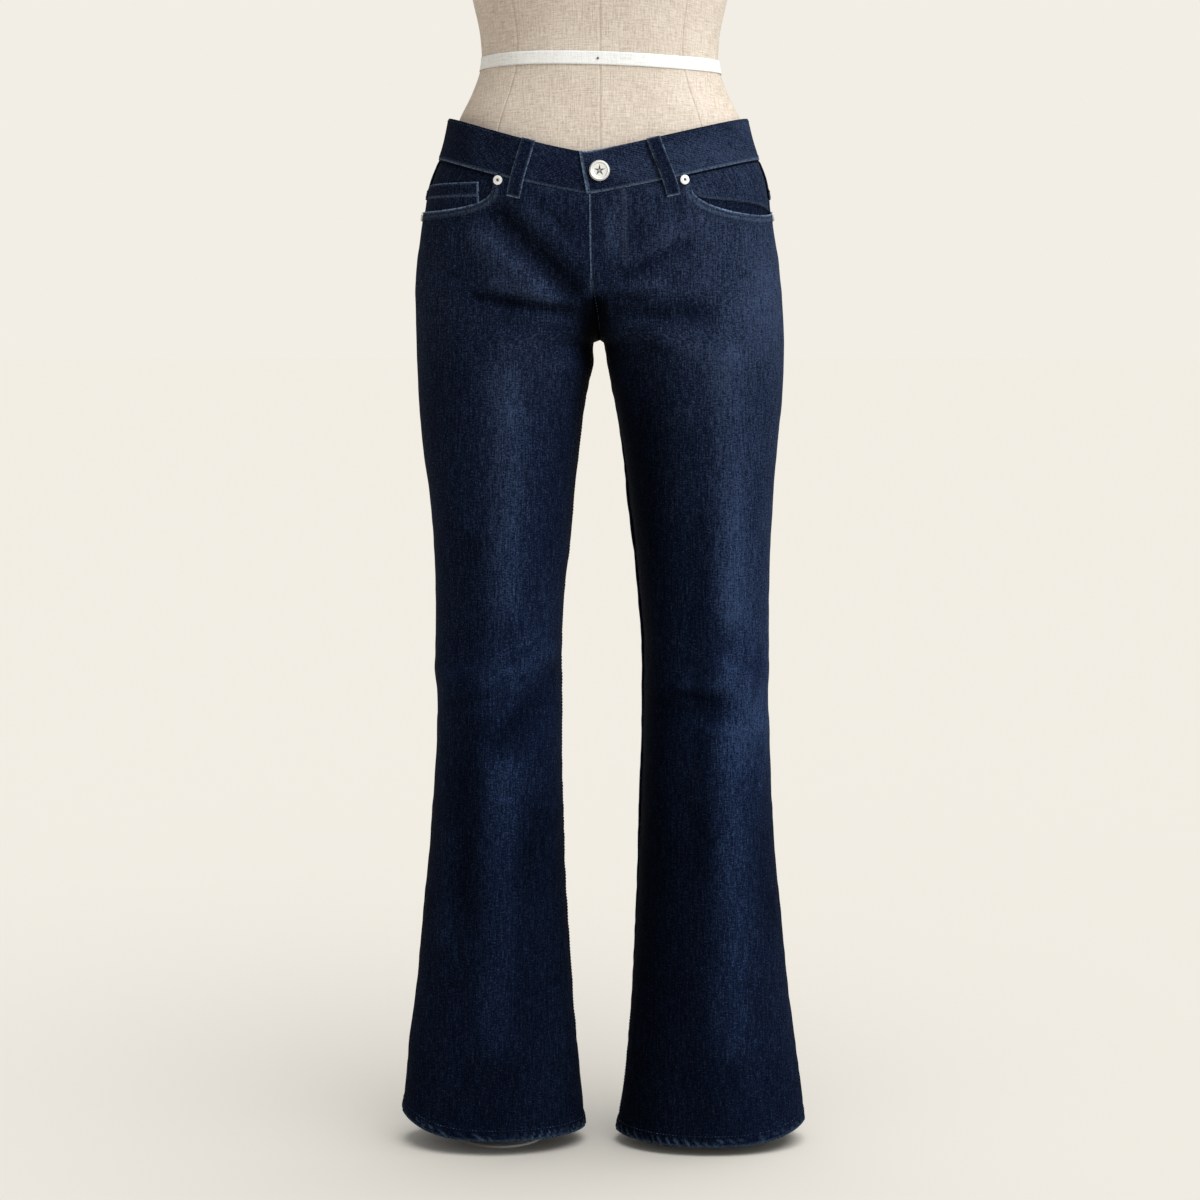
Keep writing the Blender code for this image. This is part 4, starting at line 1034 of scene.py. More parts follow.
# %% Front panels
def front_sheet(side):
    start = pocket_start(side)
    plain = start * crowd_ends(np.linspace(0, 1, PLAIN_COLUMNS + 1), COLUMN_CROWDING)
    past = crowd_ends(np.linspace(0, 1, POCKET_COLUMNS + 1)[1:], COLUMN_CROWDING)
    across = np.concatenate([plain, start + (1 - start) * past])[None, :]
    mouth = across > start
    top = np.where(mouth, pocket_mouth_height(side, across, start), waist_height(FRONT, across))
    height = panel_heights(top, hem_height(side, across), across)
    gape = np.concatenate([0 * plain, np.sin(math.pi * past) ** 2])[None, :]
    lift = (0.0022 if side == LEFT else 0.0012) * gape * smooth_step(1 - (top - height) / 0.05)
    point, normal = cloth_point(side, FRONT, height, across, lift)
    sheet = Sheet(point, normal)
    sheet.flat = grain_place(side, FRONT, height, across + 0 * height)
    rim_across = np.linspace(start, 1, 140)
    rim_line = cloth_point(side, FRONT, pocket_mouth_height(side, rim_across, start), rim_across, 0.0010)[0]
    from_mouth = edge_distance(point, rim_line)
    z = point[..., 2]
    above_fork = smooth_step((z - 0.86) / 0.02)
    if side == LEFT:
        beside = smooth_step((1 - np.abs(point[..., 0] - FLY_CENTRE) / FLY_WIDTH) * 3.0)
        sheet.push(FLY_LIFT * beside * smooth_step((z - FLY_BOTTOM) / 0.012))
    out = soften(sheet, 11 if side == LEFT else 21) + seam_dip(sheet.from_end)
    out += seam_dip(sheet.from_start, depth=0.0006) * (1 - above_fork) + puckers(sheet, "front")
    out += (puckers(sheet, "front_top") - TOP_SINK * bell(sheet.from_top, TOP_ROLL)) * ~mouth
    out += 0.0007 * smooth_step((0.0095 - from_mouth) / 0.0015) + stitch_grooves(from_mouth, MOUTH_STITCHES)
    out += hem_fold(sheet, 41 + side)
    sheet.push(out)
    sheet.fade = leg_fade_and_painted_light(sheet, side, FRONT)
    sheet.rub(0.90 * bell(from_mouth, 0.0012) + 0.12 * bell(from_mouth, 0.0016, 0.0052))
    if side == LEFT:
        sheet.rub(0.8 * bell(sheet.from_start, 0.0009) * smooth_step((z - 0.872) / 0.006))
        sheet.rub(0.10 * bell(sheet.from_start, 0.0018, 0.0335) * smooth_step((z - 0.885) / 0.02))
    low_fly = smooth_step((0.885 - z) / 0.01) * smooth_step((z - 0.862) / 0.01)
    sheet.rub(0.16 * bell(sheet.from_start, 0.0016) * low_fly)
    sheet.rub(0.12 * bell(sheet.from_end, 0.0016, 0.0035) * smooth_step((0.93 - z) / 0.02))
    sheet.renew_normals()
    return sheet


FRONTS = {side: front_sheet(side) for side in (RIGHT, LEFT)}
for panel_side, word in SIDES:
    add_cloth("front_cloth_" + word, FRONTS[panel_side], DENIM_WALL, INDIGO, "front_panel_" + word)


# %% Back panels and yokes
BACK_COLUMNS = 92
YOKE_ROWS = 24


def back_sheet(side):
    across = crowd_ends(np.linspace(0, 1, BACK_COLUMNS + 1), COLUMN_CROWDING)[None, :]
    height = panel_heights(yoke_height(across), hem_height(side, across), across)
    sheet = Sheet(*cloth_point(side, BACK, height, across))
    sheet.flat = grain_place(side, BACK, height, across + 0 * height)
    out = soften(sheet, 51 if side == LEFT else 61) + seam_dip(sheet.from_end)
    out += seam_dip(sheet.from_start, ridge=0.0007, ridge_at=0.004)
    out += seam_dip(sheet.from_top, ridge=0.0, depth=0.0008)
    sheet.push(out + puckers(sheet, "back") + hem_fold(sheet, 45 + side))
    seat = bell(np.abs(sheet.point[..., 0]), 0.05, 0.085) * bell(sheet.point[..., 2], 0.06, 0.87)
    # the back takes the front's faded dye and painted light, weaker, and a paler seat
    sheet.fade = 0.8 * leg_fade_and_painted_light(sheet, side, BACK) + 0.35 * seat
    sheet.rub(0.30 * bell(sheet.from_start, 0.0020, 0.0045))
    sheet.renew_normals()
    return sheet


def yoke_sheet(side):
    across = crowd_ends(np.linspace(0, 1, BACK_COLUMNS + 1), COLUMN_CROWDING)[None, :]
    share = np.linspace(0, 1, YOKE_ROWS + 1)[:, None]
    height = waist_height(BACK, across) * (1 - share) + (yoke_height(across) - 0.0004) * share
    sheet = Sheet(*cloth_point(side, BACK, height, across))
    out = soften(sheet, 53 if side == LEFT else 63) + seam_dip(sheet.from_end)
    out += seam_dip(sheet.from_start, ridge=0.0006, ridge_at=0.004)
    out += 0.0009 * smooth_step((0.0100 - sheet.from_bottom) / 0.0020)
    out += stitch_grooves(sheet.from_bottom, YOKE_STITCHES) + puckers(sheet, "yoke")
    sheet.push(out - TOP_SINK * bell(sheet.from_top, TOP_ROLL))
    sheet.rub(0.55 * bell(sheet.from_bottom, 0.0011) + 0.25 * bell(sheet.from_bottom, 0.0018, 0.005))
    sheet.renew_normals()
    return sheet


BACKS = {side: back_sheet(side) for side in (RIGHT, LEFT)}
YOKES = {side: yoke_sheet(side) for side in (RIGHT, LEFT)}
YOKE_GRAIN = math.radians(52)
for panel_side, word in SIDES:
    add_cloth("back_cloth_" + word, BACKS[panel_side], DENIM_WALL, INDIGO, "back_panel_" + word)
    yoke, yoke_node = YOKES[panel_side], "yoke_" + word
    add_cloth("yoke_cloth_" + word, yoke, DENIM_WALL, INDIGO_CROSS, yoke_node, grain=YOKE_GRAIN)


# %% [markdown]
# ## Waistband and belt loops
# The waistband is one strip of double denim, cut on the cross grain, so its twill runs the other way. It goes
# all the way round and laps over its own start at the centre front. Distances round the waist are counted
# from the centre front: 1 is the side seam and 2 the centre back. The loops are short folded straps, sewn
# down at both ends and standing off the band between them.


# %% Places round the waist
def waist_place(way, rise, out=0.0):
    """Points at a distance round the waist and a height over the waist seam, with their normals."""
    way, rise, out = np.broadcast_arrays(*(np.asarray(value, float) for value in (way, rise, out)))
    way = (way + 2) % 4 - 2
    point, normal = np.zeros(way.shape + (3,)), np.zeros(way.shape + (3,))
    for side in (RIGHT, LEFT):
        for face in (FRONT, BACK):
            here = ((way >= 0) == (side == LEFT)) & ((np.abs(way) <= 1) == (face == FRONT))
            if not here.any():
                continue
            across = np.abs(way[here]) if face == FRONT else 2 - np.abs(way[here])
            height = waist_height(face, across) + rise[here]
            point[here], normal[here] = cloth_point(side, face, height, across, out[here])
    return point, normal


def way_at(level):
    return math.copysign(float(across_of(LEFT, FRONT, POCKET_CORNER_HEIGHT, abs(level))), level)


# %% Waistband
BAND_WALL, BAND_INSET = 0.0022, 0.0005
BAND_UNDERLAP, BAND_LEVEL_AGAIN, BAND_RAMP, BAND_UNDER = 0.034, 0.040, 0.12, 0.0027
BAND_END_TOP, BAND_END_BOTTOM = 0.0065, 0.0020
BAND_COLUMNS, BAND_ROWS = 470, 24
BAND_STITCH = 0.0023


def band_sheet():
    down = np.linspace(0, 1, BAND_ROWS + 1)[:, None]
    along = np.linspace(0, 1, BAND_COLUMNS + 1)[None, :]
    hidden_end = way_at(BAND_UNDERLAP)
    level_again = way_at(-BAND_LEVEL_AGAIN)
    end = np.array([[way_at(-(BAND_END_TOP + (BAND_END_BOTTOM - BAND_END_TOP) * d))] for d in down[:, 0]])
    way = hidden_end - (4 + hidden_end - end) * along
    depth = BAND_UNDER * smooth_step((way - (level_again - BAND_RAMP)) / BAND_RAMP)
    sheet = Sheet(*waist_place(way, BAND_INSET + BAND_HEIGHT * (1 - down), -depth))
    top, bottom, end = sheet.from_top, sheet.from_bottom, sheet.from_end
    out = 0.0006 * mottle(sheet.across, top * 0.4, 0.030, 81)
    for distance in (top, bottom, end):
        out += -0.0006 * bell(distance, 0.0008) + stitch_grooves(distance, (BAND_STITCH,), 0.00035)
    out += puckers(sheet, "band")
    sheet.push(out * (0.3 + 0.7 * smooth_step(sheet.across / 0.10)))
    near_end = bell(end, 0.030)
    sheet.wear = (0.04 + 0.86 * near_end) * bell(top, 0.0010)
    sheet.rub((0.62 + 0.3 * near_end) * bell(bottom, 0.0010, 0.0005))
    sheet.rub(1.1 * bell(end, 0.0010))
    # painted light: the front of the band is paler towards the side lamp; a thin line along the top edge is
    # darker
    in_front = sheet.point[..., 1] < 0
    sheet.fade = 0.28 + 0.35 * mottle(sheet.across, top, 0.024, 85) + 5.0 * sheet.point[..., 0] * in_front
    sheet.fade = sheet.fade - 1.4 * bell(top, 0.0011) * (1 - near_end)
    sheet.renew_normals()
    return sheet


BAND = band_sheet()
BAND_GRAIN = math.radians(-62)
add_cloth("waistband_cloth", BAND, BAND_WALL, INDIGO_CROSS, "waistband", grain=BAND_GRAIN)

# %% Belt loops
LOOP_WIDTH, LOOP_WALL, LOOP_STAND_OFF = 0.0135, 0.0016, 0.0020
LOOP_ABOVE, LOOP_BELOW, LOOP_ARCH = 0.0010, 0.0165, 0.6
LOOP_STEP = 0.01  # of way round the waist, over which its length is measured
LOOP_COLUMNS = ("name", "top", "bottom")
LOOP_ROWS = (
    ("front_right", -0.1980, -0.2470),
    ("front_left", 0.2310, 0.2720),
    ("back_right", -1.4300, -1.4200),
    ("back_left", 1.4300, 1.4200),
    ("centre_back", 2.0000, 2.0000),
)


def loop_sheet(top_way, bottom_way, seed):
    down = np.linspace(0, 1, 45)[:, None]
    aside = np.linspace(-0.5, 0.5, 15)[None, :]
    way = top_way + (bottom_way - top_way) * down
    rise = BAND_HEIGHT + LOOP_ABOVE - (BAND_HEIGHT + LOOP_ABOVE + LOOP_BELOW) * down
    here, ahead = waist_place(way, rise)[0], waist_place(way + LOOP_STEP, rise)[0]
    per_metre = LOOP_STEP / np.linalg.norm(ahead - here, axis=-1)
    arch = np.sin(math.pi * down) ** LOOP_ARCH
    out = 2 * LAYER_GAP + LOOP_WALL + LOOP_STAND_OFF * arch
    sheet = Sheet(*waist_place(way + aside * LOOP_WIDTH * per_metre, rise, out))
    side_edge = np.minimum(sheet.from_start, sheet.from_end)
    end_edge = np.minimum(sheet.from_top, sheet.from_bottom)
    push = -0.0005 * (bell(side_edge, 0.0007) + bell(end_edge, 0.0007))
    push += 0.0004 * bell(side_edge, 0.0011, 0.0018)
    push += -0.0009 * bell(end_edge, 0.0012, 0.0030)
    push += 0.00025 * mottle(sheet.across, sheet.down, 0.006, seed)
    sheet.push(push)
    patchy = 0.65 + 0.35 * mottle(sheet.down, 0 * sheet.down, 0.007, seed + 1)
    sheet.wear = 0.72 * bell(side_edge, 0.0008) * patchy
    sheet.rub(0.90 * bell(sheet.from_bottom, 0.0011))
    sheet.rub(0.35 * bell(sheet.from_top, 0.0011))
    sheet.renew_normals()
    return sheet


LOOPS = {}
for number, loop_row in enumerate(LOOP_ROWS):
    loop = dict(zip(LOOP_COLUMNS, loop_row))
    name = loop["name"]
    LOOPS[name] = loop_sheet(loop["top"], loop["bottom"], 90 + 2 * number)
    add_cloth("loop_cloth_" + name, LOOPS[name], LOOP_WALL, INDIGO, "belt_loop_" + name)

# %% [markdown]
# ## Pockets
# Behind each curved opening lies a facing of the same denim. On the wearer's left the opening gapes, so the
# lower edge of the facing shows with the dark inside under it, which is painted shade. On the wearer's right a
# small coin pocket is sewn to the facing. The patch pockets at the back are plain, five-sided and double
# stitched.

# %% Facings and the coin pocket
FACING_DEPTH, FACING_WALL, FACING_HIDDEN, FACING_PAST_CORNER = 0.0029, 0.0010, 0.016, 0.05
COIN_DEPTH, COIN_WALL, COIN_TOP, COIN_HEIGHT = 0.0015, 0.0009, 0.970, 0.030
COIN_INNER, COIN_OUTER_ACROSS = 0.110, 0.93
FACING_EDGE_RISE = 0.0125
FACING_GRAIN = math.radians(20)
COIN_STITCHES = (0.0020, 0.0128)


def facing_sheet(side):
    start = pocket_start(side)
    across = np.linspace(start - FACING_PAST_CORNER, 1, 71)[None, :]
    down = np.linspace(0, 1, 41)[:, None]
    mouth = pocket_mouth_height(side, np.maximum(across, start), start)
    bottom = np.minimum(mouth, waist_height(FRONT, start)) - FACING_HIDDEN
    height = waist_height(FRONT, across) * (1 - down) + bottom * down
    sheet = Sheet(*cloth_point(side, FRONT, height, across, -FACING_DEPTH))
    out = 0.00025 * mottle(sheet.across, sheet.down, 0.012, 101 + side)
    if side == LEFT:  # the facing ends in an edge, with the dark inside of the pocket under it
        past = np.clip((across - start) / (1 - start), 0, 1)
        edge = mouth + FACING_EDGE_RISE * np.sin(math.pi * past**0.85)
        inside = smooth_step((edge - height) / 0.0012)
        out = out + 0.0008 - 0.0013 * inside
        below = np.clip(edge - height, 0, 1)
        fold_shade = bell(below, 0.0012 + 0.0030 * past**3)
        # painted shade: the inside of the pocket is dark, darkest just under the folded edge and at the side
        # seam
        sheet.fade = 0.75 - inside * (0.75 + 1.9 * fold_shade) - 2.2 * smooth_step((past - 0.90) / 0.08)
        sheet.wear = 0.12 * bell(height - edge, 0.0009, 0.0006) * (past > 0.04)
    else:
        sheet.fade = sheet.fade - 0.15
    sheet.push(out)
    sheet.renew_normals()
    return sheet


def coin_sheet():
    down = np.linspace(0, 1, 31)[:, None]
    height = COIN_TOP - COIN_HEIGHT * down
    inner = across_of(RIGHT, FRONT, height, COIN_INNER)
    across = inner + (COIN_OUTER_ACROSS - inner) * np.linspace(0, 1, 41)[None, :]
    sheet = Sheet(*cloth_point(RIGHT, FRONT, height, across, -COIN_DEPTH))
    out = -0.0005 * bell(sheet.from_start, 0.0007) - 0.0004 * bell(sheet.from_top, 0.0007)
    sheet.push(out + stitch_grooves(sheet.from_top, COIN_STITCHES) + puckers(sheet, "coin"))
    sheet.rub(0.55 * bell(sheet.from_top, 0.0009))
    sheet.rub(0.6 * bell(sheet.from_start, 0.0009))
    sheet.rub(0.35 * bell(sheet.from_top, 0.0008, COIN_STITCHES[1]))
    sheet.renew_normals()
    return sheet


for panel_side, word in SIDES:
    facing, facing_node = facing_sheet(panel_side), "pocket_facing_" + word
    add_cloth("facing_cloth_" + word, facing, FACING_WALL, INDIGO, facing_node, grain=FACING_GRAIN)
COIN = coin_sheet()
add_cloth("coin_pocket_cloth", COIN, COIN_WALL, INDIGO, "coin_pocket")

# %% Back pockets
BACK_POCKET_WALL, BACK_POCKET_GAP = 0.0012, 0.0011
BACK_POCKET_TOP, BACK_POCKET_HEIGHT, BACK_POCKET_TIP = 0.930, 0.106, 0.020
BACK_POCKET_INNER = (0.031, 0.040)  # at the top and the bottom, from the centre back
BACK_POCKET_OUTER = (0.139, 0.130)
POCKET_STITCHES = (0.0018, 0.0070)
POCKET_HEM_STITCHES = (0.0018, 0.0125)


def back_pocket_sheet(side):
    down = np.linspace(0, 1, 73)[:, None]
    share = np.linspace(0, 1, 65)[None, :]
    height = BACK_POCKET_TOP - (BACK_POCKET_HEIGHT + BACK_POCKET_TIP * (1 - np.abs(2 * share - 1))) * down
    inner = BACK_POCKET_INNER[0] + (BACK_POCKET_INNER[1] - BACK_POCKET_INNER[0]) * down
    outer = BACK_POCKET_OUTER[0] + (BACK_POCKET_OUTER[1] - BACK_POCKET_OUTER[0]) * down
    across = across_of(side, BACK, height, inner + (outer - inner) * share)
    sheet = Sheet(*cloth_point(side, BACK, height, across, BACK_POCKET_GAP + BACK_POCKET_WALL))
    out = 0.00035 * mottle(sheet.across, sheet.down, 0.020, 111 + side)
    out += 0.0009 * bell(sheet.from_top, 0.010) * np.sin(math.pi * share) ** 2
    rim = np.minimum(np.minimum(sheet.from_start, sheet.from_end), sheet.from_bottom)
    out += stitch_grooves(rim, POCKET_STITCHES) + stitch_grooves(sheet.from_top, POCKET_HEM_STITCHES)
    out += 0.0004 * smooth_step((0.0095 - rim) / 0.002) - 0.0007 * bell(rim, 0.0008)
    sheet.push(out + puckers(sheet, "back_pocket"))
    sheet.rub(0.65 * bell(rim, 0.0010))
    sheet.rub(0.45 * bell(sheet.from_top, 0.0010))
    sheet.rub(0.20 * bell(rim, 0.0016, 0.0045))
    sheet.fade = 0.25 * bell(sheet.from_top, 0.05, 0.05)
    sheet.renew_normals()
    return sheet


POCKETS = {side: back_pocket_sheet(side) for side in (RIGHT, LEFT)}
for panel_side, word in SIDES:
    patch, under_patch = POCKETS[panel_side], "back_panel_" + word
    patch_node = "back_pocket_" + word
    add_cloth("back_pocket_cloth_" + word, patch, BACK_POCKET_WALL, INDIGO, patch_node)

# %% [markdown]
# ## The lap of the fly
# The wearer's left front laps over the right one. The edge of the right front runs on a little underneath,
# so no light shows between them. It is a narrow strip of the same denim. Another strip is the allowance of
# the waist seam, folded up into the band, which closes that seam in the same way. Its colour is darkened
# with painted shade, so the seam shows dark inside.

# %% Underlap
UNDERLAP_TOP, UNDERLAP_BOTTOM, UNDERLAP_WALL = 0.956, 0.868, 0.0009
UNDERLAP_START, UNDERLAP_END = -0.10, 0.03  # shares across the right front, from its edge
underlap_height = np.linspace(UNDERLAP_TOP, UNDERLAP_BOTTOM, 46)[:, None]
underlap_across = np.linspace(UNDERLAP_START, UNDERLAP_END, 15)[None, :]
UNDERLAP = Sheet(*cloth_point(RIGHT, FRONT, underlap_height, underlap_across, -UNDERLAP_WALL))
add_cloth("fly_underlap_cloth", UNDERLAP, UNDERLAP_WALL, INDIGO, None)


# %% Allowance of the waist seam
ALLOWANCE_UNDER, ALLOWANCE_DEPTH, ALLOWANCE_ABOVE, ALLOWANCE_WALL = 0.0011, 0.0011, 0.0100, 0.0006
ALLOWANCE_FOLD, ALLOWANCE_PAINTED_SHADE = 0.0018, 1.5
allowance_way = np.linspace(-2.0, 2.0, 401)[None, :]
allowance_rise = np.array([[ALLOWANCE_ABOVE], [ALLOWANCE_FOLD], [-ALLOWANCE_UNDER]])
under_lap = smooth_step((allowance_way - way_at(-BAND_LEVEL_AGAIN) + BAND_RAMP) / BAND_RAMP)
under_lap = under_lap * smooth_step((way_at(BAND_UNDERLAP) - allowance_way) / 0.02)
ALLOWANCE = Sheet(*waist_place(allowance_way, allowance_rise, -ALLOWANCE_DEPTH - BAND_UNDER * under_lap))
# painted shade: the allowance is darkened, so the waist seam shows dark inside
ALLOWANCE.fade = ALLOWANCE.fade - ALLOWANCE_PAINTED_SHADE
add_cloth("waist_seam_allowance", ALLOWANCE, ALLOWANCE_WALL, INDIGO, None, closed=True)

# %% [markdown]
# ## The dress form
# The form is padding under natural linen, cut in panels that meet at the centre and on two lines each side.
# It is drawn as rings, with extra columns beside every seam, so that the seams can be real fine grooves. The
# grooves are also darkened with painted shade.
# Linen is a plain weave of uneven flax threads. Its group crosses two sets of drawn-out noise, and both sets
# carry the brown flecks of the fibre.


# %% Linen
def make_linen_group():
    tree, given, out = new_group(
        "plain_weave_threads",
        [
            ("Flat Place", VECTOR, None),
            ("Seam", NUMBER, 0.0),
            ("Thread", COLOUR, (0.600, 0.504, 0.413, 1)),
            ("Shade", COLOUR, (0.415, 0.338, 0.265, 1)),
            ("Bright", COLOUR, (0.735, 0.655, 0.565, 1)),
        ],
        [("Color", COLOUR), ("Height", NUMBER)],
    )
    place = given["Flat Place"]
    warp = stretched_noise(tree, place, 1050, 65, 2)
    weft = stretched_noise(tree, place, 65, 1050, 2)
    flecks = stretched_noise(tree, place, 420, 420, 2)
    cloud = stretched_noise(tree, place, 16, 16, 2)
    tone = weighted_sum(tree, 0.5, [(warp, 1.25), (weft, 1.25), (flecks, 0.8), (cloud, 0.5)])
    low = blend(tree, map_range(tree, tone, 0.05, 0.5), given["Shade"], given["Thread"])
    high = blend(tree, map_range(tree, tone, 0.5, 1.0), low, given["Bright"])
    # the Seam input mixes in the Shade colour: painted shade in the seam grooves
    feed(out, {"Color": blend(tree, given["Seam"], high, given["Shade"]), "Height": tone})
    return tree


PLAIN_WEAVE = make_linen_group()


def woven(name, relief, **colours):
    material, tree, shader = new_material(name, {"Roughness": 0.85, "Specular IOR Level": 0.25})
    place = result(tree, "ShaderNodeUVMap", uv_map="cloth")
    threads = add_node(tree, "ShaderNodeGroup", node_tree=PLAIN_WEAVE)
    feed(threads, {"Flat Place": place, "Seam": attribute(tree, "under"), **colours})
    colour_and_relief(shader, threads.outputs["Color"], threads.outputs["Height"], relief)
    return material


TAPE_COLOURS = {
    "Thread": (0.80, 0.79, 0.76, 1),
    "Shade": (0.66, 0.64, 0.60, 1),
    "Bright": (0.86, 0.85, 0.83, 1),
}
LINEN = woven("natural_linen", 0.00025)
TAPE_WEAVE = (woven("white_cotton_tape", 0.00012, **TAPE_COLOURS), "linen")
print("linen group has", len(PLAIN_WEAVE.nodes), "nodes")

# %% Rings of the form
FORM_COLUMNS = ("height", "middle", "half_width", "front", "back")
FORM_ROWS = (
    (0.866, -0.0010, 0.1600, 0.0830, 0.0990),
    (0.870, -0.0010, 0.1700, 0.0925, 0.1090),
    (0.880, -0.0012, 0.1738, 0.0960, 0.1130),
    (0.900, -0.0019, 0.1733, 0.0970, 0.1135),
    (0.920, -0.0023, 0.1699, 0.0970, 0.1125),
    (0.946, -0.0022, 0.1657, 0.0960, 0.1095),
    (0.975, -0.0014, 0.1598, 0.0935, 0.1045),
    (1.000, 0.0000, 0.1500, 0.0905, 0.0985),
    (1.034, 0.0000, 0.1370, 0.0875, 0.0920),
    (1.060, 0.0000, 0.1240, 0.0850, 0.0870),
    (1.085, 0.0000, 0.1157, 0.0840, 0.0840),
    (1.110, 0.0000, 0.1160, 0.0850, 0.0845),
    (1.150, 0.0000, 0.1240, 0.0910, 0.0880),
    (1.205, 0.0000, 0.1360, 0.1030, 0.0950),
    (1.240, 0.0000, 0.1440, 0.1130, 0.1000),
    (1.270, 0.0000, 0.1500, 0.1185, 0.1030),
    (1.300, 0.0000, 0.1545, 0.1180, 0.1050),
    (1.335, 0.0000, 0.1580, 0.1090, 0.1055),
    (1.370, 0.0000, 0.1590, 0.0960, 0.1030),
    (1.400, 0.0000, 0.1560, 0.0850, 0.0970),
    (1.424, 0.0000, 0.1440, 0.0765, 0.0890),
    (1.443, 0.0000, 0.1230, 0.0690, 0.0800),
    (1.460, 0.0000, 0.0980, 0.0625, 0.0710),
    (1.478, 0.0000, 0.0740, 0.0560, 0.0620),
    (1.497, 0.0000, 0.0600, 0.0515, 0.0560),
    (1.525, 0.0000, 0.0535, 0.0485, 0.0520),
    (1.560, 0.0000, 0.0530, 0.0480, 0.0510),
)
FORM_ROUNDNESS = 2.25
PRINCESS_SHARE = 0.68  # of the half width, where the long curved seams run
PRINCESS_TURN = math.acos(PRINCESS_SHARE ** (FORM_ROUNDNESS / 2))
FORM_SEAMS = (0.0, PRINCESS_TURN, math.pi - PRINCESS_TURN, math.pi)  # at the sides and behind
FORM_SEAMS += (-PRINCESS_TURN, PRINCESS_TURN - math.pi, -math.pi / 2)  # and in front
FORM_BACK = math.pi / 2  # the ring starts and ends at the centre back, on its seam


def form_place(height, turn, out=0.0):
    """Points of the form at a height and a turn round it, and the directions out of it."""
    height, turn = np.broadcast_arrays(height, turn)

    def ring(at, angle):
        sizes = {name: read_table(FORM_COLUMNS, FORM_ROWS, name, at) for name in FORM_COLUMNS[1:]}
        cosine, sine = np.cos(angle), np.sin(angle)
        depth = np.where(sine > 0, sizes["back"], sizes["front"])
        x = np.sign(cosine) * np.abs(cosine) ** (2 / FORM_ROUNDNESS) * sizes["half_width"]
        y = np.sign(sine) * np.abs(sine) ** (2 / FORM_ROUNDNESS) * depth
        return np.stack([sizes["middle"] + x, y, at + 0 * x], axis=-1)

    step = 1e-4
    along = ring(height, turn + step) - ring(height, turn - step)
    up = ring(height + step, turn) - ring(height - step, turn)
    normal = np.cross(along, up)
    normal /= np.maximum(np.linalg.norm(normal, axis=-1, keepdims=True), 1e-12)
    return ring(height, turn) + normal * np.asarray(out)[..., None], normal


SEAM_COLUMNS = (-0.016, -0.008, -0.003, 0.0, 0.003, 0.008, 0.016)  # turns beside each seam
FORM_TURNS = 132
FORM_BOTTOM_ROWS = (0.866, 0.8675, 0.8700, 0.8750)  # heights where the underside rounds
FORM_EVEN_ROWS = (0.880, 1.560, 150)


def form_sheet():
    turns = [FORM_BACK + 2 * math.pi * i / FORM_TURNS for i in range(FORM_TURNS + 1)]
    for seam in FORM_SEAMS:
        turns += [(seam + nudge - FORM_BACK) % (2 * math.pi) + FORM_BACK for nudge in SEAM_COLUMNS]
    turns = np.unique(np.round(turns, 5))
    turns[-1] = turns[0] + 2 * math.pi
    heights = np.concatenate([FORM_BOTTOM_ROWS, np.linspace(*FORM_EVEN_ROWS)])[::-1]
    sheet = Sheet(*form_place(heights[:, None], turns[None, :]))
    away = np.full(sheet.point.shape[:2], 9.0)
    for seam in FORM_SEAMS + (FORM_BACK,):
        line = form_place(heights[:, None], np.array([[seam]]))[0]
        away = np.minimum(away, np.linalg.norm(sheet.point - line, axis=-1))
    inside = smooth_step((heights[:, None] - 0.868) / 0.01) * smooth_step((1.556 - heights[:, None]) / 0.01)
    groove = bell(away, 0.0008) * inside
    sheet.push(-0.0007 * groove + 0.0004 * bell(away, 0.0035) * inside)
    # painted shade: the linen is darkened along each seam groove
    sheet.under = 0.40 * groove
    return sheet


# %% Form cover
def close_tube(piece):
    """Closes both open ends of a tube with flat faces."""
    bm = bmesh.new()
    bm.from_mesh(piece.data)
    bmesh.ops.holes_fill(bm, edges=[edge for edge in bm.edges if edge.is_boundary])
    bmesh.ops.recalc_face_normals(bm, faces=bm.faces)
    bm.to_mesh(piece.data)
    bm.free()
    piece.data.set_sharp_from_angle(angle=math.radians(60))


FORM = form_sheet()
form = wall_of("form_cover", FORM, 0, LINEN, closed=True)
close_tube(form)
declare(form, "dress_form")
print("form cover:", len(form.data.polygons), "faces")

# %% Waist tape
TAPE_WIDTH, TAPE_HEIGHT, TAPE_TILT = 0.0125, 1.0843, -0.0024
TAPE_WALL, TAPE_OFF, TAPE_WANDER, TAPE_RIPPLE = 0.0006, 0.0010, 0.0008, 0.0003
tape_turns = FORM_BACK + np.linspace(0, 2 * math.pi, 181)
tape_middle = TAPE_HEIGHT + TAPE_TILT * np.cos(tape_turns) + TAPE_WANDER * np.sin(3 * tape_turns + 1.0)
tape_heights = tape_middle[None, :] + TAPE_WIDTH * np.linspace(0.5, -0.5, 9)[:, None]
TAPE = Sheet(*form_place(tape_heights, tape_turns[None, :], TAPE_OFF + 0 * tape_heights))
TAPE.push(TAPE_RIPPLE * mottle(TAPE.across, TAPE.down, 0.03, 121))
add_cloth("waist_tape", TAPE, TAPE_WALL, TAPE_WEAVE, closed=True)


# %% [markdown]
# ## Button and rivets
# The tack button and the rivets are pressed from sheet metal: a rolled rim round a shallow dish. A stamped
# disc is a height for each radius and turn, so a polar grid draws it in one go, and a plain five-pointed star
# is one more height. The hollows hold tarnish, which an attribute carries to the metal.


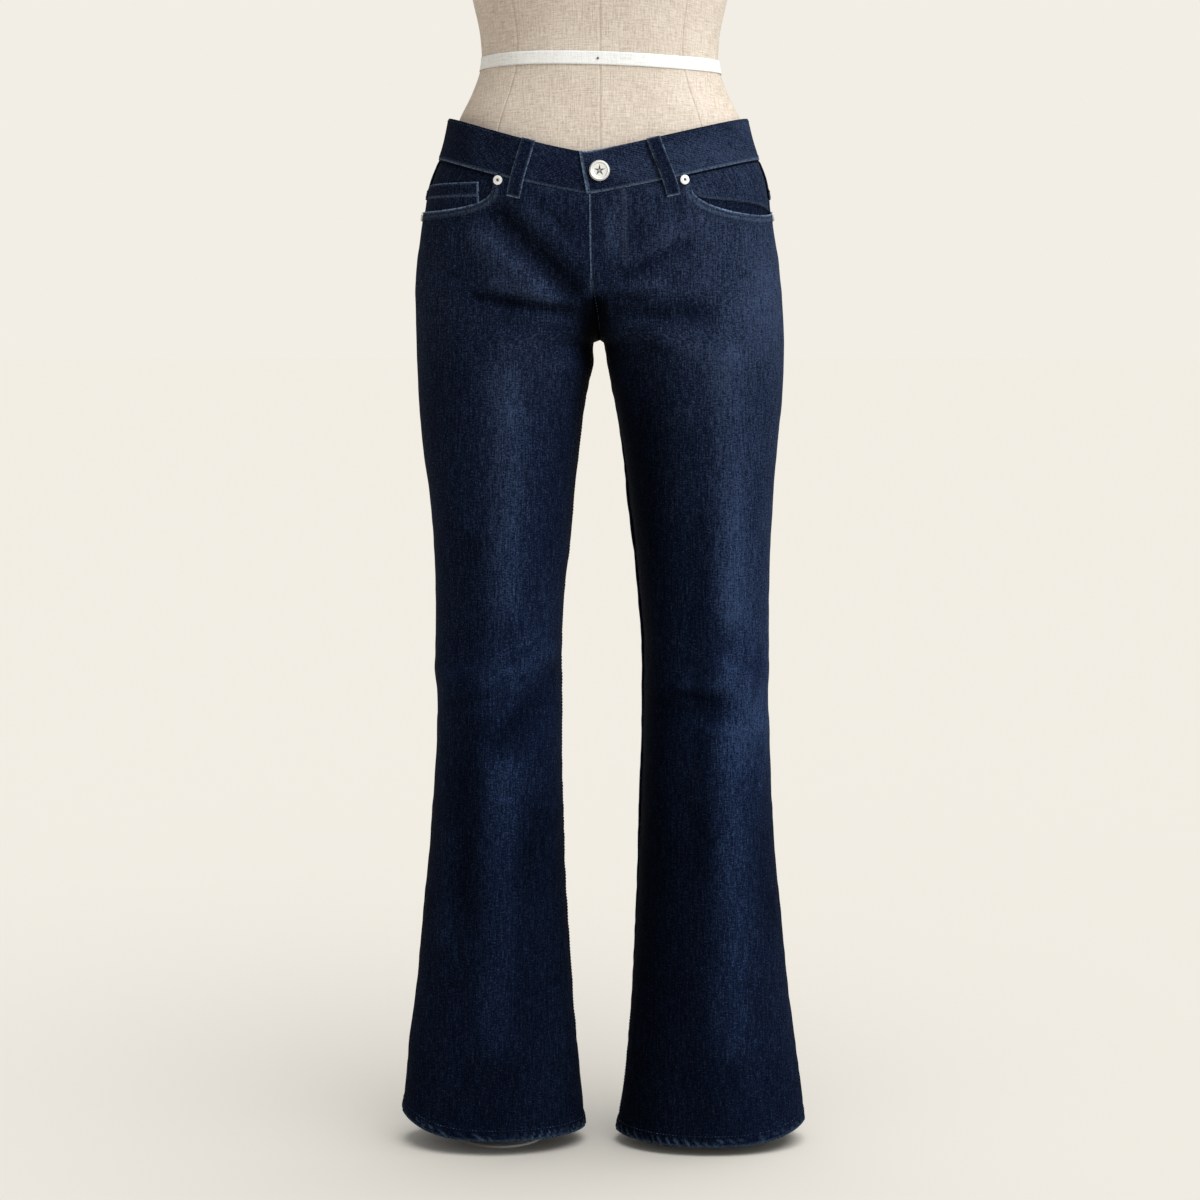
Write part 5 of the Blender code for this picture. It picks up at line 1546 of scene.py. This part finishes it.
# %% Metal
def make_metal(name, bright, tarnish, roughness, metallic):
    material, tree, shader = new_material(name, {"Metallic": metallic})
    spots = noise(tree, object_place(tree), 900.0, 4.0)
    tint = maths(tree, "MULTIPLY_ADD", spots, 0.28, -0.14)
    dirt = maths(tree, "ADD", attribute(tree, "under"), tint, clamp=True)
    feed(shader, {"Roughness": map_range(tree, dirt, 0.0, 1.0, roughness, roughness + 0.35)})
    colour_and_relief(shader, blend(tree, dirt, bright, tarnish), spots, 0.00005, 0.4)
    return material


SILVER = make_metal("worn_silver_metal", (0.90, 0.875, 0.83, 1), (0.045, 0.04, 0.035, 1), 0.34, 0.45)

# %% Stamped discs
BUTTON_RADIUS, RIVET_RADIUS = 0.0097, 0.0044
STAR_TIP, STAR_NOTCH, STAR_SINK = 0.0054, 0.0015, 0.00040


def star_reach(turn):
    """The radius of a five-pointed star at each turn, one point upwards."""
    wedge = math.pi / 5
    off_tip = np.abs((turn - math.pi / 2 + wedge) % (2 * wedge) - wedge)
    across_tip = STAR_TIP * np.sin(off_tip) + STAR_NOTCH * np.sin(wedge - off_tip)
    return STAR_TIP * STAR_NOTCH * math.sin(wedge) / across_tip


def button_height(radius, turn):
    rim = 0.0011 * bell(radius, 0.0009, 0.0082)
    height = 0.0024 + rim + 0.0002 * bell(radius, 0.0004, 0.0062)
    height = np.where(radius > 0.0087, height - 0.9 * (radius - 0.0087), height)
    star = smooth_step((star_reach(turn) - radius) / 0.00035)
    groove = bell(radius, 0.0005, 0.0071)
    outline = bell(star_reach(turn), 0.00045, radius)
    tarnish = np.maximum(0.35 * groove, np.maximum(0.90 * outline, 0.95 * star))
    return height - STAR_SINK * star, tarnish - 0.5 * bell(radius, 0.0011)


def rivet_height(radius, turn):
    dome = 0.0012 + 0.0009 * np.sqrt(np.clip(1 - (radius / 0.0047) ** 2, 0, 1))
    dimple = bell(radius, 0.0014)
    return dome - 0.0008 * dimple + 0 * turn, 0.98 * np.exp(-((radius / 0.0017) ** 4)) + 0 * turn


def stamped(name, node, seat, radius, height_of, rings, segments):
    """A stamped disc standing on the cloth at a seat of a point and a direction."""
    radii = radius * np.linspace(0, 1, rings + 1)[1:, None]
    turns = 2 * math.pi * np.arange(segments)[None, :] / segments
    height, tarnish = height_of(radii, turns)
    rows = [np.stack([radii * np.cos(turns), radii * np.sin(turns), height], axis=-1)]
    skirt = rows[0][-1].copy()
    skirt[:, 2] = 0.0
    middle, middle_tarnish = height_of(np.array(0.0), np.array(0.0))
    points = np.concatenate([[[0.0, 0.0, float(middle)]], rows[0].reshape(-1, 3), skirt])
    under = np.concatenate([[float(middle_tarnish)], tarnish.reshape(-1), np.full(segments, 0.6)])
    faces = [(0, 1 + i, 1 + (i + 1) % segments) for i in range(segments)]
    for ring in range(rings):
        base = 1 + ring * segments
        for i in range(segments):
            after = (i + 1) % segments
            faces.append((base + i, base + segments + i, base + segments + after, base + after))
    faces.append(tuple(1 + rings * segments + i for i in reversed(range(segments))))
    place, out = seat
    aside = np.cross([0.0, 0.0, 1.0], out)
    aside /= np.linalg.norm(aside)
    up = np.cross(out, aside)
    points = place + points[:, :1] * aside + points[:, 1:2] * up + points[:, 2:] * out
    mesh = bpy.data.meshes.new(name)
    mesh.from_pydata(points.tolist(), [], faces)
    values = mesh.attributes.new("under", "FLOAT", "POINT")
    values.data.foreach_set("value", under.astype(np.float32))
    mesh.materials.append(SILVER)
    mesh.shade_smooth()
    mesh.set_sharp_from_angle(angle=math.radians(55))
    disc = new_object(name, mesh)
    declare(disc, node)


def seat_at(side, height, across, out):
    """A seat on the front: a point and a direction."""
    return cloth_point(side, FRONT, height, across, out)


BUTTON_FROM_EDGE, BUTTON_HEIGHT = 0.0115, 0.979
RIVET_INSIDE, RIVET_BELOW_WAIST, SIDE_RIVET_ACROSS, RIVET_BELOW_MOUTH = 0.020, 0.0050, 0.957, 0.0048
BUTTON_MESH, RIVET_MESH = (56, 140), (18, 40)  # rings and corners of a disc
BUTTON_ACROSS = float(across_of(LEFT, FRONT, BUTTON_HEIGHT, BUTTON_FROM_EDGE))
button_seat = seat_at(LEFT, BUTTON_HEIGHT, BUTTON_ACROSS, 2 * LAYER_GAP)
stamped("tack_button_cap", "tack_button", button_seat, BUTTON_RADIUS, button_height, *BUTTON_MESH)
for panel_side, word in SIDES:
    corner = pocket_start(panel_side)
    inner_height = float(waist_height(FRONT, corner)) - RIVET_BELOW_WAIST
    side_height = float(pocket_mouth_height(panel_side, 1.0, corner)) - RIVET_BELOW_MOUTH
    for place, seat in (
        ("inner_", seat_at(panel_side, inner_height, corner - RIVET_INSIDE, 2 * LAYER_GAP)),
        ("side_", seat_at(panel_side, side_height, SIDE_RIVET_ACROSS, LAYER_GAP)),
    ):
        name = place + word
        stamped("rivet_cap_" + name, "rivet_" + name, seat, RIVET_RADIUS, rivet_height, *RIVET_MESH)
print("button at", [round(float(v), 4) for v in button_seat[0]])

# %% [markdown]
# ## Topstitching
# Jeans are held by rows of thick thread that lie on the cloth. One Geometry Nodes tree turns drawn lines into
# rows of stitches: it walks along each line, sets a short rounded stitch at every step and turns it to follow
# the line. The lines come from the sheets, so they sit in the grooves that the thread pulls. The thread is
# the same blue as the cloth, with paler places where it has been rubbed. Bar tacks are the same tree with
# short, close stitches set across the line.


# %% Stitch tree
def make_stitch_tree():
    sizes = (("Pitch", 0.0033), ("Length", 0.0026), ("Width", 0.0007), ("Turn", 0.0))
    sizes = [(label, NUMBER, value) for label, value in sizes]
    tree, given, out = new_group(
        "stitch_rows",
        [("Lines", GEOMETRY, None), *sizes, ("Thread", "NodeSocketMaterial", None)],
        [("Stitches", GEOMETRY)],
        "GeometryNodeTree",
    )
    curve = result(tree, "GeometryNodeMeshToCurve", {0: given["Lines"]})
    steps = {"Curve": curve, "Length": given["Pitch"]}
    points = result(tree, "GeometryNodeResampleCurve", steps, mode="LENGTH")
    seed = result(tree, "GeometryNodeMeshIcoSphere", {"Radius": 1.0, "Subdivisions": 1})
    tangent = result(tree, "GeometryNodeInputTangent")
    along = result(tree, "FunctionNodeAlignRotationToVector", {"Vector": tangent}, axis="X")
    turn = result(tree, "ShaderNodeCombineXYZ", {"Z": given["Turn"]})
    turned = {0: along, 1: result(tree, "FunctionNodeEulerToRotation", {0: turn})}
    rotation = result(tree, "FunctionNodeRotateRotation", turned, rotation_space="LOCAL")
    long_half = maths(tree, "MULTIPLY", given["Length"], 0.5)
    wide_half = maths(tree, "MULTIPLY", given["Width"], 0.5)
    size = result(tree, "ShaderNodeCombineXYZ", {"X": long_half, "Y": wide_half, "Z": wide_half})
    stitch = {"Points": points, "Instance": seed, "Rotation": rotation, "Scale": size}
    spread = result(tree, "GeometryNodeInstanceOnPoints", stitch)
    solid = result(tree, "GeometryNodeRealizeInstances", {0: spread})
    smooth = result(tree, "GeometryNodeSetShadeSmooth", {0: solid})
    feed(out, {0: result(tree, "GeometryNodeSetMaterial", {0: smooth, "Material": given["Thread"]})})
    return tree


STITCH_TREE = make_stitch_tree()


def make_thread(name, dark, pale):
    material, tree, shader = new_material(name, {"Roughness": 0.6, "Specular IOR Level": 0.12})
    place = object_place(tree)
    rub = map_range(tree, noise(tree, place, 170.0, 4.0), 0.48, 0.72)
    ply = {"Vector": place, "Scale": 2600.0, "Distortion": 2.0}
    twist = result(tree, "ShaderNodeTexWave", ply, "Fac", bands_direction="DIAGONAL")
    colour_and_relief(shader, blend(tree, rub, dark, pale), twist, 0.0001, 0.5)
    return material


THREAD = make_thread("blue_topstitch_thread", (0.006, 0.011, 0.026, 1), (0.045, 0.075, 0.130, 1))
PALE_THREAD = make_thread("pale_buttonhole_thread", (0.055, 0.090, 0.150, 1), (0.20, 0.27, 0.36, 1))
SEED_FACES = 20  # of the small ball that every stitch is made from


def sew(name, lines, thread, **sizes):
    """Turns drawn lines into one mesh of stitches with the tree above."""
    points, edges = [], []
    for line in lines:
        edges += [(len(points) + i, len(points) + i + 1) for i in range(len(line) - 1)]
        points += [tuple(point) for point in line]
    mesh = bpy.data.meshes.new(name + "_lines")
    mesh.from_pydata(points, edges, [])
    drawn = new_object(name + "_lines", mesh)
    rows = drawn.modifiers.new("stitches", "NODES")
    rows.node_group = STITCH_TREE
    given = [item for item in STITCH_TREE.interface.items_tree if item.in_out == "INPUT"]
    sockets = {item.name: item.identifier for item in given}
    rows[sockets["Thread"]] = thread
    for label, value in sizes.items():
        rows[sockets[label]] = value
    depsgraph = bpy.context.evaluated_depsgraph_get()
    made = bpy.data.meshes.new_from_object(drawn.evaluated_get(depsgraph))
    bpy.data.objects.remove(drawn)
    made.name = name
    stitches = new_object(name, made)
    declare(stitches)
    print(name, "stitches:", len(made.polygons) // SEED_FACES)


def surface_of(sheet):
    return BVHTree.FromPolygons(sheet.point.reshape(-1, 3).tolist(), sheet.quads().tolist())


def snap(points, surface, out=0.0002):
    """Lays points on a surface seen from the front, a little proud of it."""
    found = []
    for x, z in points:
        spot, normal, _, _ = surface.ray_cast(Vector((x, -1.0, z)), Vector((0, 1, 0)))
        if spot is not None:
            found.append(spot - Vector((0, out, 0)))
    return np.array([tuple(spot) for spot in found])


# %% Lines of topstitching
STITCH_OUT = 0.00015
FLY_LINES = (0.0255, 0.0205)  # how far the two rows of the fly lie to the left of the centre, in metres
FLY_TURN_HEIGHT, FLY_STITCH_TOP, FLY_EDGE_OFF = 0.893, 0.952, 0.0085
FLY_TURN_DROP, FLY_TURN_ROUND = 0.016, 0.35
IN_LEG = FORK_ROWS / (FORK_ROWS + LEG_ROWS)  # the share of a panel's rows above the crotch
LINE_COLUMNS = ("edge", "distances", "first", "last")
FRONT_LINES = (("bottom", (HEM_STITCH,), 0.0, 1.0),)
INSEAM_LINES = (("start", (0.0022,), IN_LEG + 0.01, 0.985),)
BACK_LINES = FRONT_LINES + (("start", (0.0022,), 0.0, IN_LEG),)
YOKE_LINES = (("bottom", YOKE_STITCHES, 0.0, 1.0), ("start", (0.0022,), 0.0, 0.97))
POCKET_LINES = (
    ("start", POCKET_STITCHES, 0.02, 0.97),
    ("end", POCKET_STITCHES, 0.02, 0.97),
    ("bottom", POCKET_STITCHES, 0.03, 0.97),
    ("top", POCKET_HEM_STITCHES, 0.03, 0.97),
)
BAND_LINES = (
    ("top", (BAND_STITCH, BAND_HEIGHT - BAND_STITCH), 0.09, 0.998),
    ("end", (BAND_STITCH,), 0.06, 0.94),
)
LOOP_LINES = (("start", (0.0023,), 0.03, 0.97), ("end", (0.0023,), 0.03, 0.97))
COIN_LINES = (("top", COIN_STITCHES, 0.0, 1.0), ("start", (SEAM_STITCH,), 0.02, 0.98))
LAP_LINES = (("start", (SEAM_STITCH,), 0.02, 0.19),)


def rows_on(sheet, rows):
    """The stitched rows of one table, as lines on a sheet."""
    found = []
    for row in rows:
        line = dict(zip(LINE_COLUMNS, row))
        for at in line["distances"]:
            found.append(sheet.line(line["edge"], at, line["first"], line["last"], STITCH_OUT))
    return found


def mouth_lines(side):
    """The two rows that follow the curved opening of a front pocket."""
    start = pocket_start(side)
    rim_across = start + (1 - start) * np.linspace(0, 1, 90) ** 0.7
    rim = cloth_point(side, FRONT, pocket_mouth_height(side, rim_across, start), rim_across)[0][:, [0, 2]]
    along = np.gradient(rim, axis=0)
    along /= np.linalg.norm(along, axis=-1, keepdims=True)
    below = np.stack([along[:, 1] * side, -along[:, 0] * side], axis=-1)
    return [snap((rim + below * at)[3:-2], surface_of(FRONTS[side])) for at in MOUTH_STITCHES]


def fly_line(reach):
    """One row of the fly: straight down, then round in a J to the centre."""
    down = np.linspace(FLY_STITCH_TOP, FLY_TURN_HEIGHT, 20)
    bend = np.linspace(0, math.pi / 2, 24)[1:]
    drop = FLY_TURN_DROP + reach * FLY_TURN_ROUND
    x = FLY_CENTRE + (reach + FLY_EDGE_OFF) * np.concatenate([np.ones(20), np.cos(bend)])
    z = np.concatenate([down, FLY_TURN_HEIGHT - drop * np.sin(bend)])
    return snap(np.stack([x, z], axis=-1), surface_of(FRONTS[LEFT]))


def stitch_lines():
    lines = []
    for side in (RIGHT, LEFT):
        lines += rows_on(FRONTS[side], FRONT_LINES) + rows_on(BACKS[side], BACK_LINES)
        lines += rows_on(FRONTS[side], INSEAM_LINES) + rows_on(YOKES[side], YOKE_LINES)
        lines += mouth_lines(side) + rows_on(POCKETS[side], POCKET_LINES)
    lines += [fly_line(reach) for reach in FLY_LINES]
    lines += rows_on(FRONTS[LEFT], LAP_LINES) + rows_on(BAND, BAND_LINES)
    for strap in LOOPS.values():
        lines += rows_on(strap, LOOP_LINES)
    lines += rows_on(COIN, COIN_LINES)
    return [line for line in lines if len(line) > 2]


sew("topstitching", stitch_lines(), THREAD)

# %% Bar tacks and the buttonhole
ACROSS_THE_LINE = math.radians(90)
TACK_SIZES = {"Pitch": 0.0006, "Length": 0.0022, "Width": 0.0005, "Turn": ACROSS_THE_LINE}
HOLE_SIZES = {**TACK_SIZES, "Length": 0.0024}
TACK_FROM_END, TACK_FIRST, TACK_LAST = 0.0030, 0.15, 0.85
HOLE_X, HOLE_HALF, HOLE_LENGTH = 0.0112, 0.0012, 0.0105


def bar(surface, x, z, length, lean):
    along = np.linspace(-0.5, 0.5, 9) * length
    points = np.stack([x + along * math.cos(lean), z + along * math.sin(lean)], axis=-1)
    return snap(points, surface, 0.0003)


tacks = [bar(surface_of(FRONTS[LEFT]), FLY_CENTRE + 0.003, 0.8775, 0.009, math.radians(60))]
for strap in LOOPS.values():
    for edge in ("top", "bottom"):
        tacks.append(strap.line(edge, TACK_FROM_END, TACK_FIRST, TACK_LAST, STITCH_OUT))
sew("bar_tacks", tacks, THREAD, **TACK_SIZES)
band_surface, hole_heights = surface_of(BAND), (BUTTON_HEIGHT + HOLE_HALF, BUTTON_HEIGHT - HOLE_HALF)
hole = [bar(band_surface, HOLE_X, at, HOLE_LENGTH, 0.0) for at in hole_heights]
sew("buttonhole", hole, PALE_THREAD, **HOLE_SIZES)

# %% [markdown]
# ## Neck cap, stand and pin
# The cap is turned wood, the stand is steel painted a grey that matches the shadow under the hems, as painted
# shade, and both keep their solids. The wood's rings follow the cap's axis, as on a piece turned from one
# block.
# The tape is held by one pin.


# %% Wood, paint and the pin
def make_wood():
    material, tree, shader = new_material("waxed_turned_wood", {"Roughness": 0.38, "Coat Weight": 0.25})
    centred = {0: object_place(tree), "Location": (0.03, 0.02, 0.0), "Scale": (1.0, 1.0, 0.12)}
    centre = result(tree, "ShaderNodeMapping", centred)
    grown = {"Vector": centre, "Scale": 55.0, "Distortion": 3.5, "Detail": 3.0, "Detail Scale": 2.0}
    rings = result(tree, "ShaderNodeTexWave", grown, "Fac", wave_type="RINGS", rings_direction="Z")
    pores = noise(tree, centre, 700.0, 3.0)
    tone = weighted_sum(tree, 0.5, [(rings, 0.75), (pores, 0.5)])
    colour = blend(tree, tone, (0.115, 0.055, 0.022, 1), (0.34, 0.19, 0.085, 1))
    colour_and_relief(shader, colour, pores, 0.0002, 0.3)
    return material


def make_paint(name, colour):
    material, tree, shader = new_material(name, {"Specular IOR Level": 0.2})
    speckle = noise(tree, object_place(tree), 240.0, 4.0)
    darker = tuple(0.9 * channel for channel in colour[:3]) + (1,)
    feed(shader, {"Roughness": map_range(tree, speckle, 0.0, 1.0, 0.45, 0.70)})
    colour_and_relief(shader, blend(tree, speckle, colour, darker), speckle, 0.0001, 0.2)
    return material


# the stand's mid grey is painted shade: it matches the shadow under the hems, where the feet show
WOOD, SHADOW_GREY_PAINT = make_wood(), make_paint("grey_painted_steel", (0.33, 0.32, 0.30, 1))
STAND_NODES = ["stand_" + part + "_" + word for part in ("rod", "foot") for word in ("right", "left")]
for node_name, finish in [("neck_cap", WOOD)] + [(node, SHADOW_GREY_PAINT) for node in STAND_NODES]:
    solid = bpy.data.objects[node_name]
    for slot in solid.material_slots:
        slot.material = finish
    print(node_name, "has", len(solid.material_slots), "material slot")

PIN_HEIGHT, PIN_TURN, PIN_OUT, PIN_RADIUS, PIN_FLATNESS = 1.0845, -math.pi / 2 - 0.010, 0.0016, 0.0011, 0.6
pin_place = form_place(np.array(PIN_HEIGHT), np.array(PIN_TURN), np.array(PIN_OUT))[0]
bm = bmesh.new()
bmesh.ops.create_uvsphere(bm, u_segments=16, v_segments=10, radius=PIN_RADIUS)
pin_mesh = bpy.data.meshes.new("tape_pin")
bm.to_mesh(pin_mesh)
bm.free()
for vert in pin_mesh.vertices:
    vert.co = Vector(pin_place) + Vector((vert.co.x, PIN_FLATNESS * vert.co.y, vert.co.z))
pin_mesh.shade_smooth()
PIN_METAL = make_metal("dark_pin_metal", (0.12, 0.11, 0.10, 1), (0.05, 0.05, 0.05, 1), 0.3, 1.0)
pin_mesh.materials.append(PIN_METAL)
declare(new_object("tape_pin", pin_mesh))
print("trims and stand finished")

# %% Finish
lit = bpy.data.collections.new("lit_from_the_side")
for thing in bpy.data.objects:
    if thing.type == "MESH" and thing.name != "floor":
        lit.objects.link(thing)
SUNS["side_sun"].light_linking.receiver_collection = lit
